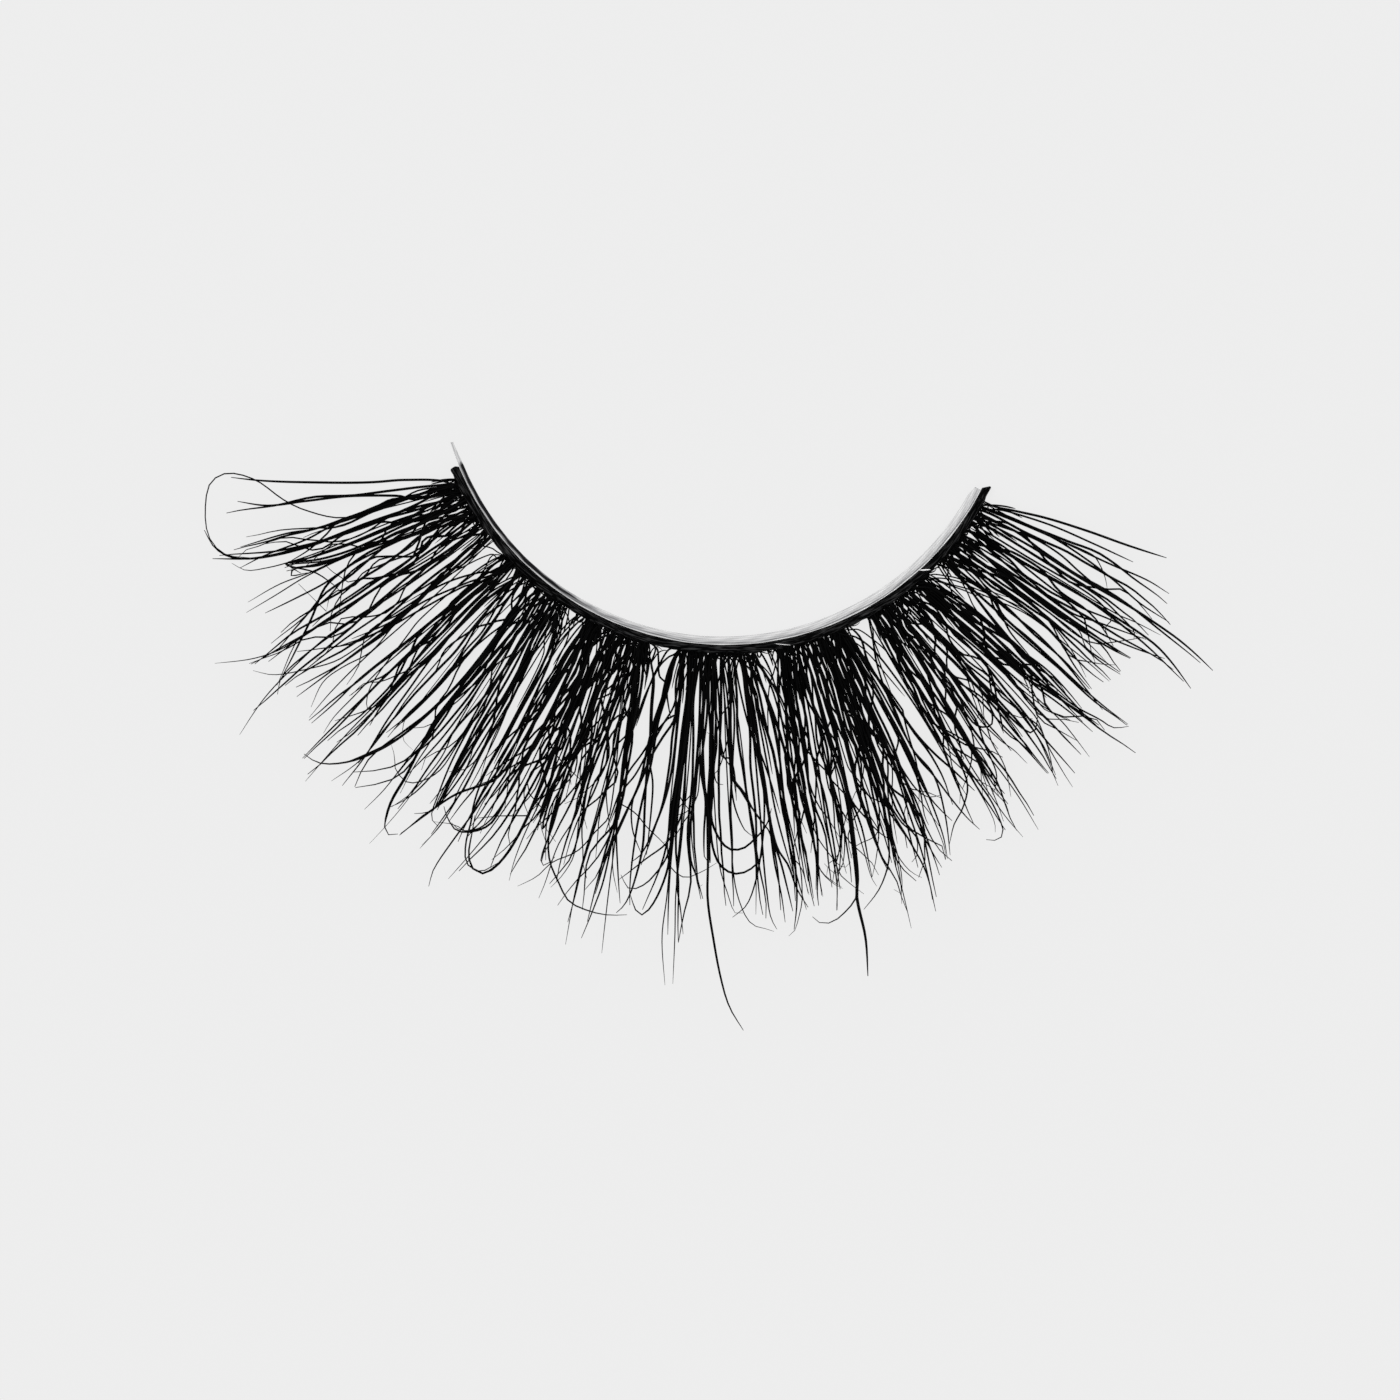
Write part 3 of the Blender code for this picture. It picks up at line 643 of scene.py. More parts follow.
fan_2_loose = (
    (MEDIUM, (-46.8, 1.3), (-48.6, 1.9), (-50.4, 3.0), (-51.4, 4.1), (-51.9, 5.6), (-52.4, 8.0)),
    (MEDIUM, (-47.0, 1.6), (-48.6, 2.6), (-50.3, 4.2), (-51.0, 5.2), (-51.6, 7.0), (-52.9, 9.0)),
    (MEDIUM, (-47.4, 2.2), (-48.8, 3.1), (-50.3, 5.4), (-51.3, 7.4), (-53.2, 9.8)),
    (FINE, (-48.2, 0.8), (-49.8, 0.9), (-51.4, 2.6), (-51.9, 4.4), (-52.5, 6.0)),
    (FINE, (-49.3, 0.6), (-50.6, 0.7), (-52.0, 1.0), (-53.0, 1.6)),
    (FINE, (-49.5, 0.9), (-48.4, 1.8), (-47.6, 3.0), (-47.9, 5.0), (-47.8, 8.0)),
    (FINE, (-49.3, 5.7), (-48.6, 7.0), (-47.3, 9.5), (-46.4, 10.3), (-45.3, 10.7), (-44.4, 10.3)),
    (MEDIUM, (-46.4, 5.6), (-46.9, 8.9), (-47.6, 9.8), (-47.9, 10.9)),
    (FINE, (-44.9, 7.3), (-45.8, 8.4), (-46.7, 9.3), (-47.8, 9.9), (-47.8, 10.8)),
    (FINE, (-45.1, 7.0), (-45.1, 11.5), (-44.9, 13.4), (-44.6, 15.4)),
    (MEDIUM, (-46.6, 4.4), (-45.7, 7.0), (-45.2, 8.6), (-45.1, 10.8)),
    (HEAVY, (-44.8, 4.5), (-44.3, 6.4), (-44.9, 8.4), (-44.5, 10.2), (-43.9, 11.2)),
    (MEDIUM, (-44.7, 4.9), (-44.2, 6.9), (-43.6, 8.4), (-42.9, 10.4), (-42.0, 12.4), (-41.7, 14.3)),
    (FINE, (-43.0, 8.6), (-42.3, 10.8), (-42.1, 12.8), (-42.8, 14.5)),
    (HEAVY, (-39.2, 6.0), (-39.7, 8.6), (-40.6, 10.8), (-41.9, 12.4), (-43.3, 13.5), (-45.0, 14.3),
     (-46.6, 14.5)),
    (HEAVY, (-39.0, 5.6), (-39.6, 8.4), (-40.5, 10.6), (-41.9, 12.2), (-43.0, 13.3)),
    (HEAVY, (-38.0, 4.5), (-38.5, 7.9), (-38.0, 10.2), (-37.3, 11.9), (-36.9, 13.4), (-36.0, 14.5),
     (-35.2, 14.8), (-34.4, 14.5)),
    (HEAVY, (-37.8, 4.4), (-38.3, 7.8), (-37.9, 10.3), (-37.2, 12.0), (-36.8, 13.4), (-35.9, 14.6)),
    (FINE, (-34.6, 9.4), (-34.7, 10.9), (-36.5, 12.1), (-38.5, 12.0), (-39.6, 11.5), (-40.6, 11.2)),
    (FAINT, (-41.4, 8.7), (-41.4, 9.8), (-40.0, 10.6), (-38.4, 10.7)),
    (MEDIUM, (-41.5, 3.9), (-41.5, 5.2), (-41.0, 6.6), (-41.1, 8.4), (-41.4, 10.0)),
    (MEDIUM, (-41.2, 3.6), (-40.8, 5.2), (-41.1, 7.0), (-41.2, 8.6), (-42.0, 10.9)),
    (MEDIUM, (-34.9, 8.0), (-34.9, 10.4), (-35.3, 12.1), (-36.0, 13.1), (-36.6, 13.6)),
    (FINE, (-36.9, 5.4), (-35.9, 8.8), (-35.3, 10.2), (-35.7, 12.4), (-36.5, 13.6)),
    (FINE, (-38.3, 9.6), (-38.2, 12.0), (-38.2, 13.2), (-38.5, 14.5)),
    (FAINT, (-35.8, 11.0), (-35.6, 12.8), (-35.8, 14.4), (-36.1, 15.7)),
    (HEAVY, (-33.5, 8.8), (-33.0, 10.9), (-32.7, 12.3), (-33.3, 13.0), (-34.2, 14.5)),
    (MEDIUM, (-32.2, 9.8), (-32.4, 11.6), (-33.0, 12.7), (-34.2, 13.2)),
    (MEDIUM, (-34.2, 9.6), (-33.2, 11.8), (-32.5, 12.9), (-31.4, 13.1)),
    (FINE, (-31.4, 9.8), (-31.2, 12.4), (-31.4, 13.4), (-31.8, 14.5)),
    (MEDIUM, (-46.9, 6.6), (-46.7, 9.6), (-46.6, 12.4), (-46.4, 14.7)),
    (MEDIUM, (-48.2, 6.6), (-48.6, 9.8), (-48.4, 11.6), (-48.4, 13.2)),
    (FINE, (-47.8, 8.6), (-47.5, 10.9), (-47.3, 12.2), (-46.8, 13.1)),
    (MEDIUM, (-36.9, 5.0), (-36.6, 7.0), (-36.6, 9.4), (-37.2, 11.8)),
    (MEDIUM, (-33.2, 0.7), (-31.6, 1.2), (-30.4, 2.2), (-30.1, 4.2), (-30.0, 6.4), (-29.6, 9.0)),
    (MEDIUM, (-33.6, 0.9), (-32.0, 1.8), (-30.6, 3.6), (-30.3, 5.4), (-30.2, 8.0), (-30.1, 10.4)),
    (FINE, (-32.6, 0.6), (-30.8, 0.9), (-29.4, 1.6), (-28.9, 3.0), (-28.6, 5.0), (-28.2, 8.0)),
    (FINE, (-33.0, 0.8), (-31.4, 1.6), (-30.2, 2.7), (-29.4, 4.6), (-28.6, 6.4), (-27.9, 9.0)),
    (FINE, (-34.2, 1.8), (-32.8, 4.0), (-31.9, 5.8), (-31.2, 8.2), (-30.2, 9.9)),
    (MEDIUM, (-30.6, 3.8), (-30.1, 5.2), (-30.0, 8.0), (-30.1, 10.4), (-30.5, 11.6), (-30.7, 12.6)),
    (FINE, (-32.0, 7.0), (-31.7, 9.4), (-31.6, 11.0), (-31.2, 12.0), (-31.3, 13.2), (-31.8, 14.3)),
    (MEDIUM, (-30.4, 6.0), (-29.9, 9.9), (-29.3, 11.3), (-28.7, 12.0), (-28.0, 13.2), (-27.0, 14.0),
     (-25.5, 14.1), (-24.0, 13.2)),
    (MEDIUM, (-33.0, 5.4), (-32.9, 8.2), (-32.7, 9.6), (-32.6, 11.2), (-32.4, 12.0)),
    (MEDIUM, (-32.4, 1.3), (-31.0, 2.2), (-30.2, 3.1), (-29.6, 4.4), (-29.2, 6.4), (-29.0, 9.2)),
    (FINE, (-33.8, 1.3), (-32.6, 2.4), (-31.5, 3.0), (-30.9, 4.5), (-30.7, 6.0)),
    (FINE, (-32.6, 5.0), (-31.7, 6.4), (-31.2, 7.6), (-30.8, 9.4), (-30.6, 11.0)),
)
fan_2 = lock_hairs("fan_2_lashes", fan_2_locks, 5.6, 21)
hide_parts("lash_fan_2")
loose_hairs("fan_2_loose_hairs", fan_2_loose, fan_2_locks, 22)
root_knots("fan_2_knots", -47.4, -32.4, 14, 23)

# Third fan. Its tips hook to the left in two sweeps, one thin hair makes the long low arc to the
# fourth fan, and its last lock stands alone against the widest window.
fan_3_locks = (
    (-27.3, -28.6, -29.6, 14.9, 0.34),
    (-26.8, -27.6, -28.4, 12.2, 0.32),
    (-26.0, -26.2, -28.2, 12.9, 0.44),
    (-24.9, -24.8, -27.3, 14.6, 0.44),
    (-23.4, -23.7, -25.2, 14.1, 0.62),
    (-22.3, -22.8, -21.3, 10.8, 0.40),
    (-21.3, -21.6, -22.6, 13.6, 0.34),
    (-20.3, -20.8, -20.0, 12.5, 0.40),
    (-18.9, -18.9, -20.1, 12.2, 0.60),
    (-17.9, -18.2, -18.9, 13.5, 0.36),
    (-17.0, -17.4, -16.6, 12.8, 0.38),
    (-16.2, -15.9, -15.4, 15.2, 0.42),
    (-15.4, -13.9, -13.6, 14.6, 0.44),
)
fan_3_loose = (
    (MEDIUM, (-29.1, 5.0), (-28.4, 8.4), (-28.9, 11.6), (-29.3, 13.1), (-29.6, 15.0), (-29.2, 15.9)),
    (HEAVY, (-26.2, 5.8), (-26.4, 9.4), (-26.6, 11.6), (-27.8, 12.4), (-29.5, 12.8), (-31.0, 12.5),
     (-32.0, 12.1)),
    (HEAVY, (-27.5, 6.0), (-27.9, 8.4), (-28.4, 9.5), (-29.3, 10.1), (-30.4, 10.6), (-31.5, 11.2),
     (-32.3, 11.9), (-33.2, 13.0), (-34.2, 14.4)),
    (FINE, (-27.2, 8.8), (-27.6, 11.6), (-28.5, 12.6), (-30.0, 12.6), (-32.0, 13.0)),
    (MEDIUM, (-26.0, 6.0), (-26.3, 9.8), (-26.9, 11.6), (-28.0, 12.4), (-29.4, 12.7), (-30.4, 12.6)),
    (FINE, (-25.5, 8.9), (-26.1, 11.0), (-26.7, 12.6), (-27.9, 15.1)),
    (HEAVY, (-23.4, 7.0), (-23.2, 10.0), (-23.5, 12.2), (-24.2, 13.5), (-25.1, 14.1), (-26.2, 14.1),
     (-27.2, 13.6), (-28.0, 12.5), (-28.6, 11.7)),
    (HEAVY, (-23.6, 7.4), (-23.3, 10.0), (-23.5, 12.0), (-24.1, 13.3), (-24.9, 14.0)),
    (HEAVY, (-21.9, 7.9), (-21.7, 9.0), (-21.4, 10.5), (-21.1, 10.9), (-20.9, 10.0), (-21.1, 9.4)),
    (FINE, (-22.6, 9.4), (-22.8, 11.4), (-22.7, 12.9), (-22.4, 13.9)),
    (MEDIUM, (-20.6, 8.0), (-20.2, 10.6), (-20.2, 12.2), (-19.8, 12.6), (-19.2, 12.4), (-18.8, 12.0)),
    (MEDIUM, (-21.0, 8.4), (-20.4, 10.8), (-19.3, 12.2), (-17.5, 13.2), (-16.0, 13.9), (-14.0, 14.1),
     (-12.0, 14.1), (-10.0, 13.9)),
    (FINE, (-14.2, 9.2), (-15.3, 10.2), (-16.7, 11.4), (-18.9, 12.3), (-19.9, 13.2), (-21.4, 14.0)),
    (MEDIUM, (-15.3, 3.9), (-16.8, 4.4), (-18.7, 5.7), (-20.7, 6.8), (-21.4, 8.4), (-22.4, 10.8)),
    (MEDIUM, (-20.9, 5.4), (-21.9, 7.4), (-22.6, 7.8), (-23.6, 8.2)),
    (MEDIUM, (-20.5, 5.8), (-21.3, 7.9), (-22.3, 9.2), (-23.2, 10.4)),
    (FINE, (-18.0, 9.4), (-18.9, 11.4), (-18.9, 13.4), (-19.0, 14.2)),
    (FINE, (-17.6, 9.6), (-16.9, 11.6), (-17.4, 12.7), (-18.2, 13.5)),
    (FINE, (-15.8, 8.8), (-15.8, 11.4), (-15.7, 13.2), (-15.2, 16.0)),
    (MEDIUM, (-13.9, 6.6), (-13.3, 9.4), (-13.1, 12.4), (-13.4, 13.8), (-13.9, 15.5)),
    (FINE, (-13.5, 8.0), (-12.8, 10.6), (-12.3, 13.0), (-11.7, 16.0)),
    (FINE, (-13.3, 8.6), (-12.8, 8.6), (-11.0, 8.9), (-9.6, 9.4), (-7.3, 10.1), (-6.4, 10.6)),
    (MEDIUM, (-13.4, 8.4), (-13.0, 9.8), (-11.9, 11.7), (-10.9, 13.4)),
    (FINE, (-13.6, 8.8), (-13.1, 10.3), (-12.4, 11.8), (-11.4, 12.9)),
    (MEDIUM, (-13.2, 0.6), (-12.6, 1.0), (-11.7, 1.9), (-10.4, 2.2), (-9.6, 3.0), (-8.6, 3.9)),
    (MEDIUM, (-13.5, 0.6), (-13.6, 1.4), (-12.5, 2.1), (-11.8, 3.5), (-11.2, 4.8), (-11.0, 6.4)),
    (MEDIUM, (-14.6, 0.9), (-13.4, 1.5), (-12.7, 2.1), (-12.1, 3.4), (-11.4, 4.7), (-10.6, 6.2),
     (-9.7, 7.2), (-9.3, 8.6), (-9.0, 10.8)),
    (FINE, (-14.8, 1.4), (-13.8, 1.4), (-12.8, 0.8), (-11.8, 0.6), (-10.9, 0.6)),
    (FINE, (-14.0, 2.0), (-14.2, 1.2), (-14.0, 0.7), (-13.2, 0.5), (-12.2, 0.6)),
)
fan_3 = lock_hairs("fan_3_lashes", fan_3_locks, 8.8, 31)
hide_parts("lash_fan_3")
loose_hairs("fan_3_loose_hairs", fan_3_loose, fan_3_locks, 32)
root_knots("fan_3_knots", -29.4, -15.8, 14, 33)

# Fourth fan, at the middle of the eye. It carries the longest stray of the strip, a tangle of
# crossed hairs near its middle, and low arcs from lock to lock below it.
fan_4_locks = (
    (-8.8, -10.6, -9.8, 13.4, 0.30),
    (-7.9, -7.9, -9.4, 11.2, 0.34),
    (-6.8, -6.8, -8.4, 13.8, 0.48),
    (-5.7, -5.9, -5.6, 16.6, 0.42),
    (-4.7, -4.7, -4.3, 14.4, 0.48),
    (-3.6, -4.0, -2.5, 12.6, 0.34),
    (-2.3, -2.2, -2.1, 10.9, 0.46),
    (-1.2, -1.0, 0.4, 13.4, 0.38),
    (0.4, 0.8, 1.0, 12.9, 0.46),
    (1.6, 2.7, 4.7, 13.9, 0.42),
    (2.6, 3.9, 2.6, 13.0, 0.36),
    (3.3, 5.1, 5.9, 13.4, 0.40),
    (4.0, 7.0, 7.2, 13.0, 0.36),
)
fan_4_loose = (
    (HEAVY, (-2.2, 5.0), (-2.3, 8.0), (-2.0, 10.9), (-1.9, 12.7), (-1.2, 14.7), (-0.5, 16.5),
     (0.3, 18.0), (1.5, 19.2)),
    (HEAVY, (-8.0, 3.8), (-9.4, 4.9), (-10.6, 6.0), (-11.5, 7.6), (-12.6, 9.4), (-13.4, 11.4),
     (-13.6, 13.2)),
    (MEDIUM, (-7.8, 3.6), (-9.0, 3.9), (-10.5, 4.7), (-11.9, 5.9), (-13.2, 7.0), (-13.8, 8.4),
     (-14.2, 10.4)),
    (MEDIUM, (-8.4, 3.2), (-9.6, 4.2), (-11.0, 5.6), (-12.2, 7.0), (-13.2, 7.8), (-13.9, 9.6)),
    (MEDIUM, (-9.8, 0.7), (-10.8, 0.9), (-12.0, 1.4), (-12.8, 2.2), (-13.5, 3.3), (-13.9, 5.0)),
    (HEAVY, (-10.1, 1.2), (-10.4, 2.6), (-11.1, 4.2), (-11.3, 5.4), (-11.4, 7.2), (-12.2, 8.8),
     (-12.9, 10.4)),
    (HEAVY, (-9.8, 1.2), (-10.2, 2.6), (-10.8, 4.4), (-10.8, 6.4), (-10.2, 8.4), (-9.6, 10.4),
     (-9.9, 12.4), (-10.4, 13.4), (-11.1, 13.9)),
    (MEDIUM, (-10.9, 0.5), (-12.1, 1.3), (-12.8, 2.1), (-13.2, 3.0), (-13.6, 4.6)),
    (MEDIUM, (-9.6, 1.9), (-10.6, 4.6), (-10.9, 6.6), (-11.8, 8.2), (-11.2, 9.6), (-9.6, 10.8)),
    (HEAVY, (-7.4, 5.4), (-7.6, 7.4), (-8.6, 9.4), (-9.6, 10.8), (-10.6, 11.3)),
    (MEDIUM, (-6.4, 8.4), (-6.6, 10.6), (-8.2, 12.0), (-9.4, 12.5), (-10.3, 12.6), (-11.4, 12.0)),
    (HEAVY, (-6.6, 8.2), (-6.4, 11.0), (-6.9, 12.3), (-7.8, 13.4), (-8.6, 13.8), (-9.2, 13.6),
     (-10.0, 12.9)),
    (MEDIUM, (-5.4, 8.2), (-6.8, 10.0), (-9.0, 11.0), (-11.6, 12.3)),
    (FINE, (-6.3, 10.2), (-6.2, 12.7), (-6.25, 14.7), (-5.5, 17.1)),
    (FINE, (-5.2, 10.0), (-5.3, 12.4), (-5.0, 14.6), (-4.8, 17.0)),
    (MEDIUM, (-5.4, 9.0), (-5.3, 12.0), (-4.7, 13.2), (-4.2, 14.5)),
    (MEDIUM, (-6.2, 10.6), (-6.0, 12.8), (-5.7, 14.6)),
    (HEAVY, (-4.2, 7.9), (-4.3, 9.7), (-3.9, 10.9), (-3.2, 11.6), (-2.4, 12.7)),
    (FINE, (-4.2, 9.0), (-3.4, 11.2), (-2.9, 12.2), (-2.5, 12.0)),
    (FINE, (-6.8, 10.0), (-6.2, 11.2), (-4.5, 11.7), (-2.8, 11.4), (-1.0, 10.9)),
    (HEAVY, (-3.4, 6.2), (-2.6, 7.8), (-2.6, 9.4), (-2.4, 10.7), (-2.1, 10.8)),
    (HEAVY, (-2.9, 6.8), (-2.0, 8.8), (-1.8, 10.9)),
    (MEDIUM, (-1.6, 5.0), (-1.7, 7.6), (-1.9, 9.4), (-1.7, 10.9)),
    (HEAVY, (-1.8, 6.6), (-1.8, 8.6), (-0.9, 9.6), (0.4, 10.2), (2.0, 10.2), (3.6, 9.7), (5.0, 9.1),
     (5.8, 8.3)),
    (HEAVY, (-1.9, 7.6), (-1.7, 9.7), (-0.8, 10.9), (0.6, 11.4), (2.0, 11.4), (3.5, 11.0), (4.2, 10.5),
     (4.4, 9.6)),
    (MEDIUM, (1.0, 6.6), (2.4, 7.4), (3.5, 8.3), (4.4, 8.9), (5.2, 9.4), (5.6, 10.4)),
    (MEDIUM, (0.6, 5.8), (1.0, 7.8), (2.2, 9.2), (3.2, 9.6)),
    (MEDIUM, (5.0, 7.4), (4.7, 9.0), (4.0, 10.6), (3.3, 11.8), (2.2, 13.0), (0.7, 13.6)),
    (FINE, (0.6, 9.4), (1.0, 11.9), (1.8, 13.3), (2.7, 14.0), (3.8, 14.2), (4.8, 14.4)),
    (FINE, (-1.2, 9.0), (-0.7, 11.0), (0.2, 12.4), (1.0, 13.4), (1.8, 13.4)),
    (FINE, (3.0, 8.6), (3.4, 10.4), (3.3, 12.0), (3.1, 13.5)),
    (MEDIUM, (4.3, 8.2), (4.3, 10.9), (4.4, 12.6), (4.6, 13.7), (5.1, 14.3)),
    (FINE, (0.9, 3.6), (-0.2, 5.4), (-1.3, 6.4), (-2.4, 6.4)),
    (FINE, (-0.9, 4.4), (-0.2, 5.6), (0.8, 6.2), (1.3, 7.4)),
    (MEDIUM, (-1.3, 4.9), (-1.6, 6.2), (-1.2, 6.9), (-0.3, 7.0)),
    (FINE, (0.6, 2.9), (-0.8, 3.6), (-1.6, 4.6), (-2.8, 4.4)),
    (MEDIUM, (-0.5, 5.6), (0.6, 5.7), (1.2, 6.4), (1.4, 7.8)),
    (FINE, (-3.9, 6.7), (-4.6, 7.6), (-5.8, 8.2), (-6.6, 9.0)),
    (FINE, (-6.4, 7.2), (-5.4, 8.0), (-4.4, 8.4), (-4.0, 9.0)),
    (FINE, (-3.6, 7.4), (-4.8, 8.4), (-5.8, 8.6), (-6.4, 8.2)),
    (FINE, (-4.0, 8.0), (-5.2, 9.0), (-6.2, 9.8), (-7.4, 10.1)),
    (MEDIUM, (3.9, 0.7), (5.4, 1.2), (6.6, 2.6), (7.4, 4.4), (7.6, 6.6), (7.3, 9.0), (7.7, 11.4),
     (8.3, 13.5)),
    (MEDIUM, (4.2, 0.6), (5.9, 1.0), (7.8, 2.2), (8.8, 4.0), (10.0, 5.4), (10.6, 7.6)),
    (FINE, (4.6, 0.6), (6.6, 1.2), (8.8, 2.8), (9.8, 4.4), (10.7, 6.2)),
    (MEDIUM, (1.0, 6.7), (2.0, 7.3), (3.0, 8.0), (4.0, 8.6), (5.5, 9.6)),
    (MEDIUM, (5.3, 7.0), (5.4, 9.7), (5.5, 11.0), (5.9, 12.6), (6.0, 14.0)),
    (HEAVY, (5.2, 7.6), (5.6, 9.8), (6.2, 11.0), (6.6, 12.3), (6.9, 13.5)),
    (HEAVY, (5.4, 8.6), (6.0, 10.3), (7.0, 11.2), (7.6, 12.4), (8.5, 13.4)),
    (HEAVY, (7.5, 8.4), (7.8, 10.6), (7.6, 12.4), (7.3, 13.4), (6.8, 14.4)),
    (FINE, (7.8, 9.0), (8.3, 11.4), (8.0, 13.0), (7.6, 13.6), (6.8, 14.5), (6.2, 14.7)),
    (MEDIUM, (5.8, 6.0), (6.2, 8.2), (6.8, 10.0), (7.5, 11.8)),
    (FINE, (7.2, 7.8), (7.3, 9.6), (7.6, 10.8), (8.4, 11.4), (8.8, 12.8)),
    (MEDIUM, (2.1, 1.6), (3.0, 3.2), (4.0, 4.6), (5.0, 5.5), (6.0, 6.9), (6.8, 8.6)),
    (MEDIUM, (3.4, 1.2), (5.0, 2.8), (6.3, 4.6), (7.2, 6.6), (7.8, 8.8)),
    (FINE, (4.6, 1.1), (6.2, 2.0), (7.6, 3.4), (8.6, 5.4), (9.0, 7.4)),
    (FINE, (4.2, 0.6), (5.5, 0.9), (6.5, 1.1), (8.0, 1.7), (9.2, 2.8)),
    (MEDIUM, (3.3, 0.9), (5.7, 1.8), (6.9, 2.9), (7.8, 4.1), (8.4, 5.4), (8.8, 7.0)),
    (MEDIUM, (4.6, 0.7), (6.5, 1.3), (7.9, 2.0), (9.1, 2.8), (9.8, 3.7), (10.4, 5.2)),
    (MEDIUM, (3.8, 1.4), (5.2, 2.5), (5.4, 3.5), (6.0, 4.8), (6.4, 6.6)),
)
fan_4 = lock_hairs("fan_4_lashes", fan_4_locks, 2.8, 41)
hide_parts("lash_fan_4")
loose_hairs("fan_4_loose_hairs", fan_4_loose, fan_4_locks, 42)
root_knots("fan_4_knots", -9.2, 6.2, 15, 43)

# Fifth fan, the darkest. A stiff dark hair stands out of its middle, a long arc sweeps left from it,
# and short broken hairs lie crossed among its tips.
fan_5_locks = (
    (10.9, 8.9, 9.1, 13.4, 0.34),
    (11.5, 10.3, 9.9, 13.0, 0.42),
    (12.3, 11.3, 11.4, 12.6, 0.42),
    (13.1, 12.5, 12.4, 12.9, 0.44),
    (14.1, 14.0, 13.2, 12.6, 0.56),
    (16.2, 16.7, 15.8, 12.6, 0.38),
    (17.4, 17.5, 16.9, 12.8, 0.42),
    (18.4, 18.6, 18.2, 12.2, 0.36),
    (19.6, 19.8, 18.1, 15.2, 0.64),
    (20.9, 20.7, 20.9, 12.6, 0.40),
    (21.8, 22.3, 22.8, 13.2, 0.44),
    (22.5, 23.4, 20.9, 14.9, 0.34),
    (22.9, 24.7, 24.1, 12.9, 0.34),
    (23.2, 26.1, 27.0, 10.6, 0.26),
)
